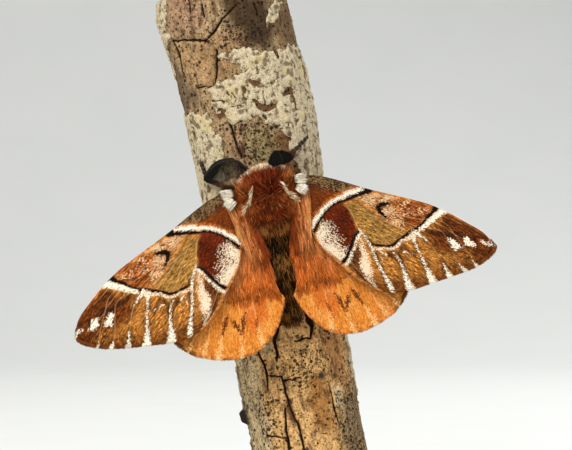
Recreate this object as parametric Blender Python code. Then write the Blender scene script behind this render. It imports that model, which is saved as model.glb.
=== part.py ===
"""A male Kentish glory moth, life size, clinging to a short cut length of branch on a display stand.

Every size below is in millimetres. finish() turns a piece into metres once it is whole.
The moth is shaped in its own axes: +X to its right, +Y to its head, +Z out of its back, with the origin in
the middle of the thorax. MOTH places those axes in the model, whose +Z is up and whose front is -Y.
"""

import math
import random

import bmesh
import bpy
import numpy as np
from mathutils import Matrix, Vector

MM = 0.001
GAP = 0.3  # clear space kept between two nodes that touch
RNG = random.Random(11)

# Stand: a turned disc and one rod that runs up into the cut end of the branch.
BASE_RADIUS = 28.0
BASE_HEIGHT = 5.0
BASE_EDGE = 0.9  # chamfer of the disc's rims
BOSS_RADIUS = 3.4  # raised ring round the foot of the rod
BOSS_HEIGHT = 1.2
ROD_RADIUS = 1.5

# Branch: its axis leans, and passes through BRANCH_MID at half its length.
BRANCH_RADIUS = 7.7
BRANCH_LENGTH = 62.0
BRANCH_LEAN = 10.1  # degrees, the top towards -X
BRANCH_MID = Vector((-2.4, 1.5, 43.5))
BRANCH_TAPER = 0.05  # share by which the top is thinner than the foot
BRANCH_SIDES = 24
BRANCH_RINGS = 25

# Moth: where the middle of the thorax is, and how the body is turned.
BARK_TO_THORAX = 5.2  # from the bark's nearest line to the middle of the thorax
BODY_LEAN = 12.3  # degrees, the head towards -X
BODY_ROLL = 4.5  # degrees, the back turned a little towards +X
THORAX_MID = Vector((-2.44, BRANCH_MID.y - BRANCH_RADIUS - BARK_TO_THORAX, 47.5))

# Body sections: (y, middle z, half width, half height).
HEAD = [(3.5, -1.75, 0.5, 0.5), (3.25, -1.65, 1.05, 1.05), (2.85, -1.5, 1.4, 1.4), (2.35, -1.3, 1.45, 1.5),
        (2.05, -1.15, 1.2, 1.3)]
THORAX = [(1.75, -0.5, 1.7, 1.7), (1.35, -0.35, 2.45, 2.4), (0.5, -0.05, 3.05, 3.0), (-0.5, 0.0, 3.3, 3.2),
          (-1.8, -0.1, 3.2, 3.0), (-3.1, -0.45, 2.8, 2.6), (-4.0, -0.85, 2.25, 2.15)]
ABDOMEN = [(-4.3, -1.05, 2.15, 2.1), (-6.0, -1.55, 2.35, 2.2), (-9.0, -2.15, 2.05, 2.0), (-12.0, -2.8, 1.7, 1.6),
           (-14.5, -3.3, 1.25, 1.2), (-15.9, -3.6, 0.7, 0.75)]
SEGMENTS = 7
SEGMENT_SWELL = 0.05  # share by which a ring of the abdomen bulges

EYE_RADIUS = 0.75
EYE_PLACE = (1.25, 2.95, -1.9)
PALP_LENGTH = 1.5

# Wings: one roof shape carries both pairs, the hind pair one layer lower.
ROOF_TOP = 1.7
ROOF_SLOPE = 0.32
ROOF_ROUND = 3.0
WING_LAYER = 1.2
WING_THICK = 0.5
VEIN_HEIGHT = 0.2
COSTA_ROLL = 0.8  # how far the front edge of the forewing bends down
WING_STEPS = 12  # stations from root to edge

FORE_COSTA = [(8.3, 0.1), (12.9, -2.2), (16.6, -3.9), (20.1, -5.5), (22.5, -7.1), (24.6, -8.85), (26.2, -10.4),
              (27.0, -11.8)]
FORE_OUTER = [(27.0, -11.8), (27.15, -12.9), (26.3, -13.8), (24.1, -14.7), (21.5, -15.2), (18.5, -15.5),
              (15.6, -15.75), (13.5, -15.6), (12.0, -15.2)]
FORE_INNER = [(4.55, -5.7), (5.4, -7.95), (7.55, -10.9), (8.9, -12.6), (10.4, -14.1), (12.0, -15.2)]
FORE_ROOT_Y = (1.0, -1.9)
FORE_VEINS = 8
HIND_COSTA = [(6.5, -4.3), (10.0, -8.2), (13.2, -11.8), (15.1, -14.6)]
HIND_OUTER = [(15.1, -14.6), (14.8, -16.0), (13.0, -17.9), (11.6, -18.65), (9.75, -19.25), (7.8, -19.5),
              (6.1, -19.3), (4.6, -18.8), (3.4, -17.9), (2.3, -16.7), (1.4, -15.2), (0.6, -13.2)]
HIND_INNER = [(2.75, -6.0), (2.3, -8.6), (1.45, -11.4), (0.6, -13.2)]
HIND_ROOT_Y = (-2.1, -3.5)
HIND_VEINS = 6

# Antennae: the line of each shaft from the head to its tip, and the longest comb tooth.
ANTENNA_ROOT = (2.65, 42)  # y, and degrees from the back's midline, on the head's skin
ANTENNA_LEFT = [(-1.7, 3.6, 0.6), (-3.3, 4.75, 1.0), (-5.0, 4.75, 0.8), (-6.5, 4.3, 0.2), (-7.4, 3.8, -0.6)]
ANTENNA_RIGHT = [(1.45, 3.7, 0.9), (2.2, 4.75, 2.0), (2.65, 4.4, 3.1), (2.85, 3.7, 4.0), (3.4, 3.1, 4.5)]
SHAFT_RADIUS = 0.26
RAMUS_LENGTH = 2.3
RAMUS_WIDTH = 0.45
RAMI = 10  # teeth in each row
RAMI_FROM = 0.25  # share of the shaft that is bare at its foot

# Legs: the thigh's root as y and degrees round the thorax, the knee in the moth's axes, then heel and toe as
# degrees round the branch from its front line and millimetres above the thorax along it.
LEG_RADII = (0.5, 0.46, 0.34, 0.27)
LEGS = {
    "foreleg_left": ((0.9, -150), (-4.6, 1.9, -3.9), (-50, 3.2), (-57, 5.6)),
    "foreleg_right": ((0.9, 150), (3.6, 3.3, -4.1), (36, 5.0), (54, 6.6)),
    "midleg_left": ((-0.3, -146), (-5.0, -0.9, -4.0), (-54, -2.0), (-62, -4.2)),
    "midleg_right": ((-0.3, 146), (4.8, -0.9, -4.2), (54, -2.0), (62, -4.2)),
    "hindleg_left": ((-2.3, -150), (-3.9, -5.2, -4.0), (-40, -7.4), (-47, -10.4)),
    "hindleg_right": ((-2.3, 150), (4.1, -5.2, -4.2), (44, -7.4), (50, -10.4)),
}

COLOURS = {
    "stand": ((0.05, 0.035, 0.028), 0.35, 0.0),
    "steel": ((0.55, 0.55, 0.56), 0.3, 1.0),
    "bark": ((0.36, 0.25, 0.16), 0.9, 0.0),
    "fur_red": ((0.24, 0.07, 0.02), 0.85, 0.0),
    "fur_dark": ((0.12, 0.07, 0.03), 0.85, 0.0),
    "fur_pale": ((0.55, 0.42, 0.28), 0.85, 0.0),
    "eye": ((0.02, 0.015, 0.012), 0.15, 0.0),
    "antenna": ((0.03, 0.03, 0.028), 0.6, 0.0),
    "leg": ((0.10, 0.06, 0.035), 0.7, 0.0),
    "forewing": ((0.25, 0.12, 0.05), 0.75, 0.0),
    "hindwing": ((0.62, 0.25, 0.05), 0.75, 0.0),
}


# Frames
BRANCH = (Matrix.Translation(BRANCH_MID) @ Matrix.Rotation(math.radians(-BRANCH_LEAN), 4, "Y")
          @ Matrix.Translation((0, 0, -BRANCH_LENGTH / 2)))
MOTH = (Matrix.Translation(THORAX_MID) @ Matrix.Rotation(math.radians(-BODY_LEAN), 4, "Y")
        @ Matrix.Rotation(math.radians(90), 4, "X") @ Matrix.Rotation(math.radians(BODY_ROLL), 4, "Y"))


# Mesh helpers
def through(points, count):
    """count points, evenly spaced, on a smooth (Catmull-Rom) curve through the given ones."""
    pts = np.array(points, float)
    ext = np.vstack([2 * pts[0] - pts[1], pts, 2 * pts[-1] - pts[-2]])
    dense = []
    for a, b, c, d in zip(ext[:-3], ext[1:-2], ext[2:-1], ext[3:]):
        t = np.linspace(0, 1, 24, endpoint=False)[:, None]
        dense.append(0.5 * (2 * b + (c - a) * t + (2 * a - 5 * b + 4 * c - d) * t**2
                            + (3 * b - a - 3 * c + d) * t**3))
    dense = np.vstack(dense + [pts[-1:]])
    run = np.r_[0, np.cumsum(np.linalg.norm(np.diff(dense, axis=0), axis=1))]
    even = np.linspace(0, run[-1], count)
    return np.column_stack([np.interp(even, run, dense[:, k]) for k in range(pts.shape[1])])


def rings_to_mesh(rings, cap_start=True, cap_end=True):
    """(points, faces) of a closed skin over rings of equal length. A ring of one point is a tip."""
    points, starts = [], []
    for ring in rings:
        starts.append(len(points))
        points += [tuple(p) for p in ring]
    faces = []
    for k in range(len(rings) - 1):
        a, b, na, nb = starts[k], starts[k + 1], len(rings[k]), len(rings[k + 1])
        n = max(na, nb)
        for i in range(n):
            j = (i + 1) % n
            if na == 1:
                faces.append((a, b + j, b + i))
            elif nb == 1:
                faces.append((a + i, a + j, b))
            else:
                faces.append((a + i, a + j, b + j, b + i))
    if cap_start and len(rings[0]) > 1:
        faces.append(tuple(reversed(range(starts[0], starts[0] + len(rings[0])))))
    if cap_end and len(rings[-1]) > 1:
        faces.append(tuple(range(starts[-1], starts[-1] + len(rings[-1]))))
    return points, faces


def tube(path, radii, sides=6, first_side=(0, 0, 1), flatten=1.0):
    """A tapered tube along path. flatten is its thickness along first_side, as a share of its width."""
    path = [Vector(p) for p in path]
    rings = []
    up = Vector(first_side)
    for k, centre in enumerate(path):
        ahead = path[min(k + 1, len(path) - 1)] - path[max(k - 1, 0)]
        across = ahead.cross(up).normalized()
        up = across.cross(ahead).normalized()
        ring = []
        for i in range(sides):
            a = 2 * math.pi * i / sides
            ring.append(centre + (across * math.cos(a) - up * math.sin(a) * flatten) * radii[k])
        rings.append(ring)
    return rings_to_mesh(rings)


def lock(root, tip, up, rise, width, thick):
    """One flat, tapered lock from root to tip, bowed by rise along up: a diamond section that narrows to a point."""
    root, tip, up = Vector(root), Vector(tip), Vector(up).normalized()
    bend = (root + tip) / 2 + up * rise * 2
    rings = []
    for t, share in ((0.0, 0.8), (0.3, 1.0), (0.65, 0.72)):
        at = root * (1 - t) ** 2 + bend * 2 * t * (1 - t) + tip * t**2
        ahead = (bend - root) * (1 - t) + (tip - bend) * t
        across = ahead.cross(up).normalized()
        above = across.cross(ahead).normalized()
        w, h = width / 2 * share, thick / 2 * (0.6 + 0.4 * share)
        rings.append([at + across * w, at - above * h, at - across * w, at + above * h])
    rings.append([tip])
    return rings_to_mesh(rings)


def to_object(name, points, faces):
    mesh = bpy.data.meshes.new(name)
    mesh.from_pydata([tuple(p) for p in points], [], faces)
    mesh.update()
    obj = bpy.data.objects.new(name, mesh)
    bpy.context.scene.collection.objects.link(obj)
    return obj


def largest_shell(mesh):
    """Keeps only the closed surface of most volume, which fills sealed hollows and drops loose scraps."""
    bm = bmesh.new()
    bm.from_mesh(mesh)
    bmesh.ops.triangulate(bm, faces=bm.faces)
    left, shells = set(bm.faces), []
    while left:
        queue, shell = [left.pop()], set()
        while queue:
            face = queue.pop()
            shell.add(face)
            for edge in face.edges:
                for other in edge.link_faces:
                    if other in left:
                        left.discard(other)
                        queue.append(other)
        shells.append(shell)

    def volume(shell):
        return sum(f.verts[0].co.dot(f.verts[1].co.cross(f.verts[2].co)) for f in shell)

    kept = max(shells, key=volume)
    bmesh.ops.delete(bm, geom=[f for f in bm.faces if f not in kept], context="FACES")
    bmesh.ops.delete(bm, geom=[v for v in bm.verts if not v.link_faces], context="VERTS")
    bm.to_mesh(mesh)
    bm.free()


def joined(obj, pieces, operation="UNION"):
    """obj with one Boolean over a collection of closed pieces, applied. The pieces are then removed."""
    if not pieces:
        return obj
    group = bpy.data.collections.new(obj.name + "_pieces")
    bpy.context.scene.collection.children.link(group)
    for k, (points, faces) in enumerate(pieces):
        piece = to_object(f"{obj.name}_{k}", points, faces)
        bpy.context.scene.collection.objects.unlink(piece)
        group.objects.link(piece)
    modifier = obj.modifiers.new("join", "BOOLEAN")
    modifier.operation = operation
    modifier.operand_type = "COLLECTION"
    modifier.collection = group
    modifier.solver = "EXACT"
    bpy.context.view_layer.update()
    whole = bpy.data.meshes.new_from_object(obj.evaluated_get(bpy.context.evaluated_depsgraph_get()))
    obj.modifiers.clear()
    obj.data = whole
    for piece in list(group.objects):
        bpy.data.objects.remove(piece)
    bpy.data.collections.remove(group)
    largest_shell(obj.data)
    return obj


def finish(obj, colour, parent=None, smooth=35):
    """Turns a whole piece into metres, shades it, gives it its material and hangs it on its axes."""
    obj.data.transform(Matrix.Scale(MM, 4))
    obj.data.shade_smooth()
    obj.data.set_sharp_from_angle(angle=math.radians(smooth))
    material = bpy.data.materials.get(colour) or bpy.data.materials.new(colour)
    rgb, rough, metal = COLOURS[colour]
    material.use_nodes = True
    shader = material.node_tree.nodes["Principled BSDF"]
    shader.inputs["Base Color"].default_value = (*rgb, 1)
    shader.inputs["Roughness"].default_value = rough
    shader.inputs["Metallic"].default_value = metal
    obj.data.materials.clear()
    obj.data.materials.append(material)
    obj.parent = parent
    return obj


def axes(name, matrix):
    """An empty whose place and turn are the given frame, with its origin turned into metres."""
    empty = bpy.data.objects.new(name, None)
    bpy.context.scene.collection.objects.link(empty)
    place, turn, _ = matrix.decompose()
    empty.matrix_world = Matrix.Translation(place * MM) @ turn.to_matrix().to_4x4()
    return empty


# Body sections
def section(stations, y):
    """(middle z, half width, half height) of the body at y."""
    rows = np.array(sorted(stations))
    return [float(np.interp(y, rows[:, 0], rows[:, k])) for k in (1, 2, 3)]


def skin_point(stations, y, angle):
    """The point of the skin at y, angle degrees from the back's midline, and the skin's outward direction."""
    z, w, h = section(stations, y)
    s, c = math.sin(math.radians(angle)), math.cos(math.radians(angle))
    return Vector((w * s, y, z + h * c)), Vector((s / w, 0, c / h)).normalized()


def body_core(stations, sides=16, rings=None):
    """A closed body through elliptical sections, from its front to its rear, with flat ends."""
    ys = [row[0] for row in stations] if rings is None else rings
    skin = []
    for y in ys:
        skin.append([skin_point(stations, y, 360 * i / sides)[0] for i in range(sides)])
    return rings_to_mesh(list(reversed(skin)))


def coat_lock(stations, y, angle, length, lie, lift, width=0.95, thick=0.5, sunk=0.45):
    """A lock that grows from the skin at (y, angle), leans along lie, and stands off the skin by lift."""
    at, out = skin_point(stations, y, angle)
    along = Vector(lie) - out * Vector(lie).dot(out)
    length *= RNG.uniform(0.88, 1.12)
    tip = at + along.normalized() * length + out * lift * RNG.uniform(0.85, 1.15)
    return lock(at - out * sunk, tip, out, 0.16 * length, width * RNG.uniform(0.9, 1.1), thick)


# Stand and branch
def make_base(parent):
    profile = [(BASE_RADIUS - BASE_EDGE, 0), (BASE_RADIUS, BASE_EDGE), (BASE_RADIUS, BASE_HEIGHT - BASE_EDGE),
               (BASE_RADIUS - BASE_EDGE, BASE_HEIGHT)]
    sides = 56
    rings = [[(r * math.cos(2 * math.pi * i / sides), r * math.sin(2 * math.pi * i / sides), z)
              for i in range(sides)] for r, z in profile]
    disc = to_object("stand_base", *rings_to_mesh(rings))
    foot = rod_point(0)
    boss = [[foot + Vector((r * math.cos(2 * math.pi * i / 24), r * math.sin(2 * math.pi * i / 24), z))
             for i in range(24)] for r, z in ((BOSS_RADIUS, -1.0), (BOSS_RADIUS, BOSS_HEIGHT - 0.4),
                                              (BOSS_RADIUS - 0.4, BOSS_HEIGHT))]
    joined(disc, [rings_to_mesh(boss)])
    hole = tube([rod_point(-3), rod_point(3)], [ROD_RADIUS + GAP] * 2, 24, (0, 1, 0))
    joined(disc, [hole], "DIFFERENCE")
    return finish(disc, "stand", parent)


def rod_point(along):
    """A point of the rod's axis, measured up from the top face of the base."""
    foot = BRANCH @ Vector((0, 0, 0))
    lean = math.tan(math.radians(BRANCH_LEAN))
    top = Vector((foot.x + (foot.z - BASE_HEIGHT) * lean, foot.y, BASE_HEIGHT))
    return top + (foot - top).normalized() * along


def make_rod(parent):
    foot = BRANCH @ Vector((0, 0, 0))
    length = (foot - rod_point(0)).length - GAP
    rod = to_object("stand_rod", *tube([rod_point(GAP - 3 + 0.05), rod_point(length)], [ROD_RADIUS] * 2, 24,
                                       (0, 1, 0)))
    return finish(rod, "steel", parent)


def bark_radius(angle, height):
    """The bark's radius at degrees round from its front line and millimetres up: long low swells, and a taper."""
    a = math.radians(angle)
    swell = (0.30 * math.cos(2 * a + 0.05 * height) + 0.16 * math.cos(3 * a - 0.11 * height)
             + 0.12 * math.cos(5 * a + 0.07 * height + 1.0) + 0.10 * math.sin(0.31 * height + 2 * a))
    front = 0.5 - 0.5 * math.cos(a)  # the front line stays true, for the moth's sake
    return BRANCH_RADIUS * (1 + BRANCH_TAPER * (0.5 - height / BRANCH_LENGTH)) + swell * front


def bark_point(angle, height, off=0.0):
    """A point off millimetres outside the bark, in the branch's own axes, whose front line faces -Y."""
    r = bark_radius(angle, height) + off
    a = math.radians(angle)
    return Vector((r * math.sin(a), -r * math.cos(a), height))


def make_branch():
    rings = []
    for k in range(BRANCH_RINGS):
        h = BRANCH_LENGTH * k / (BRANCH_RINGS - 1)
        rings.append([bark_point(360 * i / BRANCH_SIDES, h) for i in range(BRANCH_SIDES)])
    branch = to_object("perch_branch", *rings_to_mesh(rings))
    return finish(branch, "bark", axes("branch_axes", BRANCH))


# Wings
def roof(x):
    """Height of the roof that the spread wings make, at x from the midline: a slope with a rounded ridge."""
    return ROOF_TOP - ROOF_SLOPE * (np.hypot(x, ROOF_ROUND) - ROOF_ROUND)


def root_line(root_y, layer, count):
    """The wing's root edge, GAP outside the skin of the thorax, for y between the two ends of root_y."""
    line = []
    for y in np.linspace(*root_y, count):
        z_mid, w, h = section(THORAX, y)
        x = w
        for _ in range(8):
            z = roof(x) - layer - z_mid
            reach = max(abs(z) - WING_THICK / 2 - VEIN_HEIGHT, 0.0)
            x = w * math.sqrt(max(1 - (reach / h) ** 2, 0.0)) + GAP
        line.append((x, y))
    return np.array(line)


def wing_grid(costa, inner, root, outer):
    """A Coons patch: its rows run from the root to the outer edge, and its columns from the front edge back."""
    u = np.linspace(0, 1, len(costa))[:, None, None]
    v = np.linspace(0, 1, len(root))[None, :, None]
    sides = (1 - v) * costa[:, None] + v * inner[:, None] + (1 - u) * root[None] + u * outer[None]
    corners = ((1 - u) * (1 - v) * costa[0] + (1 - u) * v * inner[0] + u * (1 - v) * costa[-1]
               + u * v * inner[-1])
    return sides - corners


def wing_solid(costa, inner, outer, root_y, layer, veins, costa_roll):
    """(points, faces) of one right wing: a curved sheet with its veins raised on both faces."""
    columns = 3 * veins - 1
    root = root_line(root_y, layer, columns)
    grid = wing_grid(through([root[0], *costa], WING_STEPS), through([root[-1], *inner], WING_STEPS),
                     root, through(outer, columns))
    v = np.linspace(0, 1, columns)[None, :]
    u = np.linspace(0, 1, WING_STEPS)[:, None]
    height = roof(grid[..., 0]) - layer - costa_roll * (1 - v) ** 4 * np.sin(math.pi * u**0.7 / 2)
    ridge = np.where(np.arange(columns) % 3 == 0, 1.0, 0.0)[None, :] * np.clip(1.35 - u, 0.2, 1)
    ridge[:, 0] = 0
    sheets = []
    for up in (1, -1):
        z = height + up * (WING_THICK / 2 + ridge * VEIN_HEIGHT * (1.0 if up > 0 else 0.7))
        sheets.append(np.dstack([grid, z]).reshape(-1, 3))
    points = np.vstack(sheets)
    rows, low = WING_STEPS, WING_STEPS * columns
    faces = []
    for i in range(rows - 1):
        for j in range(columns - 1):
            a, b = i * columns + j, i * columns + j + 1
            c, d = b + columns, a + columns
            faces += [(a, c, d), (a, b, c), (low + a, low + d, low + c), (low + a, low + c, low + b)]
    rim = ([j for j in range(columns)] + [i * columns + columns - 1 for i in range(1, rows)]
           + [(rows - 1) * columns + j for j in range(columns - 2, -1, -1)]
           + [i * columns for i in range(rows - 2, 0, -1)])
    for a, b in zip(rim, rim[1:] + rim[:1]):
        faces += [(a, low + b, b), (a, low + a, low + b)]
    return points, faces


def mirrored(points, faces, side):
    """The shape as it is for the right side, or turned over for the left."""
    if side > 0:
        return points, faces
    return [(-p[0], p[1], p[2]) for p in points], [tuple(reversed(f)) for f in faces]


def hind_hairs():
    """Long locks that lie along the inner part of the hindwing, from its root towards its edge."""
    hairs = []
    for k in range(9):
        t = k / 8
        y0 = -4.7 - 3.3 * (k % 2) - 0.5 * t
        x0 = 2.9 + 2.0 * t + 0.12 * (y0 + 4.6) * (1 - 1.6 * t)
        y1 = y0 - 5.0 + 0.6 * t
        x1 = x0 - 1.0 + 2.6 * t - 0.25 * (k % 2)
        z0, z1 = (float(roof(x)) - WING_LAYER + WING_THICK / 2 for x in (x0, x1))
        hairs.append(lock((x0, y0, z0 - 0.15), (x1, y1, z1 + 0.12), (0.15, 0, 1), 0.16, 0.85, 0.42))
    return hairs


def make_wings(parent):
    fore = wing_solid(FORE_COSTA, FORE_INNER, FORE_OUTER, FORE_ROOT_Y, 0.0, FORE_VEINS, COSTA_ROLL)
    hind = wing_solid(HIND_COSTA, HIND_INNER, HIND_OUTER, HIND_ROOT_Y, WING_LAYER, HIND_VEINS, 0.0)
    for word, side in (("right", 1), ("left", -1)):
        finish(to_object("forewing_" + word, *mirrored(*fore, side)), "forewing", parent)
        wing = to_object("hindwing_" + word, *mirrored(*hind, side))
        joined(wing, [mirrored(*hair, side) for hair in hind_hairs()])
        finish(wing, "hindwing", parent)


# Body
def make_thorax(parent):
    thorax = to_object("thorax", *body_core(THORAX, 20))
    coat = []
    for row, y in enumerate((0.7, -0.1, -0.9, -1.7, -2.4, -3.1)):
        for angle in range(-45, 46, 18):
            turn = angle + (4 if row % 2 else -4)
            lie = (0.35 * math.sin(math.radians(turn)), -1, 0)
            coat.append(coat_lock(THORAX, y, turn, 2.1, lie, 0.95))
    for angle in range(-48, 49, 12):
        lie = (0.3 * math.sin(math.radians(angle)), 1, 0)
        reach = 2.3 * math.cos(math.radians(0.6 * angle))
        coat.append(coat_lock(THORAX, 1.15, angle, reach, lie, 1.0, 0.8))
    for side in (-1, 1):
        for y, reach, back in ((0.9, 2.3, 0.9), (0.4, 2.5, 0.35), (-0.2, 2.4, -0.2), (-0.9, 2.3, -0.6)):
            root = skin_point(THORAX, y, 44 * side)[0]
            tip = Vector((side * (2.45 + reach), y + back, 2.1))
            coat.append(lock(root - Vector((side * 0.35, 0, 0.3)), tip, (0, 0, 1), 0.42, 1.05, 0.5))
        for k in range(4):
            root = skin_point(THORAX, -2.0 - 0.45 * k, side * (42 - 7 * k))[0]
            tip = Vector((side * (4.3 - 0.75 * k), -7.2 - 0.6 * k, 2.1))
            coat.append(lock(root - Vector((0, 0, 0.3)), tip, (0, 0, 1), 0.5, 1.0, 0.5))
        for y in (1.0, -0.6, -2.2):
            coat.append(coat_lock(THORAX, y, side * 122, 1.9, (0.2 * side, -1, 0), 0.5))
    joined(thorax, coat)
    return finish(thorax, "fur_red", parent)


def make_abdomen(parent):
    front, rear = ABDOMEN[0][0], ABDOMEN[-1][0]
    steps = 2 * SEGMENTS
    ys = [front + (rear - front) * k / steps for k in range(steps + 1)]
    rows = []
    for k, y in enumerate(ys):
        z, w, h = section(ABDOMEN, y)
        swell = 1 + SEGMENT_SWELL * (k % 2)
        rows.append((y, z, w * swell, h * swell))
    abdomen = to_object("abdomen", *body_core(rows, 14))
    coat = []
    for row in range(SEGMENTS):
        y = front - 0.7 + (rear - front + 1.4) * row / SEGMENTS
        near_wings = min(max((-8.0 - y) / 3.0, 0.0), 1.0)  # there the hindwings close over the back
        for angle in (-96, -62, -22, 22, 62, 96):
            turn = angle + (9 if row % 2 else -9)
            lift = 0.6 - 0.4 * near_wings if abs(turn) < 40 else 0.2
            coat.append(coat_lock(ABDOMEN, y, turn, 1.9, (0, -1, -0.05), lift, 0.85, 0.45, 0.4))
    for k in range(8):
        angle = 45 * k
        lie = (0.2 * math.sin(math.radians(angle)), -1, -0.35)
        coat.append(coat_lock(ABDOMEN, -15.4, angle, 1.7, lie, 0.1, 0.8, 0.45, 0.35))
    joined(abdomen, coat)
    return finish(abdomen, "fur_dark", parent)


def ball(centre, radius, sides=12, rings=8):
    """A closed globe."""
    skin = [[centre + Vector((0, 0, -radius))]]
    for k in range(1, rings):
        a = math.pi * k / rings
        skin.append([centre + radius * Vector((math.sin(a) * math.cos(2 * math.pi * i / sides),
                                               math.sin(a) * math.sin(2 * math.pi * i / sides), -math.cos(a)))
                     for i in range(sides)])
    skin.append([centre + Vector((0, 0, radius))])
    return rings_to_mesh(skin)


def make_head(parent):
    head = to_object("head", *body_core(HEAD, 16))
    coat = []
    for angle in (-16, 0, 16):
        coat.append(coat_lock(HEAD, 2.6, angle, 1.2, (0.3 * math.sin(math.radians(angle)), 1, 0), 0.6, 0.75, 0.45))
    for side in (-1, 1):
        root = Vector((side * 0.5, 3.0, -2.4))
        tip = root + Vector((side * 0.25, 0.9, -0.45)).normalized() * PALP_LENGTH
        coat.append(lock(root, tip, (0, 0.3, 1), 0.1, 0.8, 0.7))
    joined(head, coat)
    places = [Vector((side * EYE_PLACE[0], EYE_PLACE[1], EYE_PLACE[2])) for side in (-1, 1)]
    for place in places:
        joined(head, [ball(place, EYE_RADIUS + GAP)], "DIFFERENCE")
    finish(head, "fur_pale", parent)
    for word, place in zip(("left", "right"), places):
        finish(to_object("eye_" + word, *ball(place, EYE_RADIUS)), "eye", parent)


def comb(line, inner, outer):
    """The teeth of an antenna: two rows of tapered blades, one along inner and one along outer."""
    teeth = []
    shaft = through(line, 4 * RAMI + 1)
    for k in range(RAMI):
        t = RAMI_FROM + (0.98 - RAMI_FROM) * k / (RAMI - 1)
        at = Vector(shaft[round(t * 4 * RAMI)])
        ahead = (Vector(shaft[min(round(t * 4 * RAMI) + 1, 4 * RAMI)]) - at).normalized()
        length = RAMUS_LENGTH * math.sin(math.pi * (0.12 + 0.8 * k / (RAMI - 1)) ** 0.8)
        for direction, share in ((inner, 1.0), (outer, 0.85)):
            reach = Vector(direction).normalized() * length * share + ahead * 0.2 * length
            side = reach.cross(ahead)
            teeth.append(lock(at, at + reach, side, 0.06 * length, RAMUS_WIDTH, 0.5))
    return teeth


def make_antenna(name, line, inner, outer, parent):
    y, angle = ANTENNA_ROOT
    at, out = skin_point(HEAD, y, math.copysign(angle, line[0][0]))
    line = [tuple(at + out * (GAP + 0.15)), *line]
    path = through(line, 13)
    radii = [SHAFT_RADIUS * (1.15 - 0.5 * k / 12) for k in range(13)]
    antenna = to_object(name, *tube(path, radii, 6, (0, 0.3, 1)))
    joined(antenna, comb(line, inner, outer))
    return finish(antenna, "antenna", parent)


def make_leg(name, parent):
    """Thigh, shin and foot in one bent tube, from under the thorax to the bark."""
    (y, angle), knee, heel, toe = LEGS[name]
    to_moth = MOTH.inverted() @ BRANCH
    along = (BRANCH.inverted() @ THORAX_MID).z
    feet = [to_moth @ bark_point(a, along + h, GAP + LEG_RADII[3] + 0.1) for a, h in (heel, toe)]
    skin, out = skin_point(THORAX, y, angle)
    knee = Vector(knee)
    hip = skin + out * (GAP + 0.1)
    thigh = hip + out * 0.7
    shin = knee.lerp(feet[0], 0.55) + Vector((0, 0, 0.1))
    path = [hip, thigh, thigh.lerp(knee, 0.5), knee, knee.lerp(shin, 0.4), shin, feet[0],
            feet[0].lerp(feet[1], 0.5), feet[1]]
    r = LEG_RADII
    radii = [r[0], r[0] * 1.1, r[0], r[1], r[1] * 1.05, r[2], r[3], r[3], r[3] * 0.8]
    return finish(to_object(name, *tube(path, radii, 8, (0, 0, 1))), "leg", parent)


def main():
    for old in list(bpy.data.objects):
        bpy.data.objects.remove(old)
    stand = axes("stand_axes", Matrix.Identity(4))
    make_base(stand)
    make_rod(stand)
    make_branch()
    moth = axes("moth_axes", MOTH)
    make_thorax(moth)
    make_abdomen(moth)
    make_head(moth)
    make_wings(moth)
    make_antenna("antenna_left", ANTENNA_LEFT, (-0.25, -1.0, 0.1), (-0.2, 0.4, -0.9), moth)
    make_antenna("antenna_right", ANTENNA_RIGHT, (-0.85, 0.15, 0.0), (0.8, 0.1, -0.4), moth)
    for name in LEGS:
        make_leg(name, moth)


main()
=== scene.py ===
# %% [markdown]
# # A male Kentish glory moth on a cut length of branch
# This lesson dresses a life-size museum model: a furry moth with patterned wings that clings to lichened bark.
# The solid parts come first, as a fixed frame. Each real surface is then built over them as a mesh of its own.

# %% load the frame
import math

import bpy
import numpy as np
from mathutils import Matrix, Vector


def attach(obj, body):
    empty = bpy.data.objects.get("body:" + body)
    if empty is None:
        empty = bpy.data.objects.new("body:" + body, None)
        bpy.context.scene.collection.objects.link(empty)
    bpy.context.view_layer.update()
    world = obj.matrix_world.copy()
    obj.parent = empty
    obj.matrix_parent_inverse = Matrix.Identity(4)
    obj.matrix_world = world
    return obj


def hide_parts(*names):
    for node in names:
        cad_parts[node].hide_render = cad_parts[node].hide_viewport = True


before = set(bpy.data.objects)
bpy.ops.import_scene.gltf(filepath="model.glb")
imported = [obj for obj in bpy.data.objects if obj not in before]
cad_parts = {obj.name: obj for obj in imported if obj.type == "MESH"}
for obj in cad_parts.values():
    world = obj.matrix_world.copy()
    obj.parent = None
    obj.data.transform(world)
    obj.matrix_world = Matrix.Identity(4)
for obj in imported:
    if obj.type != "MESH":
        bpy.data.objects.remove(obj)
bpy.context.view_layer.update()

# %% [markdown]
# ## Two sets of axes
# The branch leans, and the moth lies on it. Working in the moth's own axes (+X to its right, +Y to its head,
# +Z out of its back, millimetres) keeps every shape simple. One matrix then carries the points into the model.

# %% the axes of the branch and of the moth
MM = 0.001
BRANCH_RADIUS = 7.7
BRANCH_LENGTH = 62.0
BRANCH_MID = Vector((-2.4, 1.5, 43.5))
BRANCH_LEAN = 10.1
BODY_LEAN = 12.3
BODY_ROLL = 4.5
THORAX_MID = Vector((-2.44, BRANCH_MID.y - BRANCH_RADIUS - 5.2, 47.5))


def turn(degrees, axis):
    """The matrix of a turn by some degrees about an axis."""
    return Matrix.Rotation(math.radians(degrees), 4, axis)


BRANCH = np.array(Matrix.Translation(BRANCH_MID) @ turn(-BRANCH_LEAN, "Y")
                  @ Matrix.Translation((0, 0, -BRANCH_LENGTH / 2)))
MOTH = np.array(Matrix.Translation(THORAX_MID) @ turn(-BODY_LEAN, "Y") @ turn(90, "X") @ turn(BODY_ROLL, "Y"))


def placed(points, axes):
    """Each point turned by the axes, moved to their origin, and changed from millimetres to metres."""
    return (np.asarray(points) @ axes[:3, :3].T + axes[:3, 3]) * MM


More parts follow.
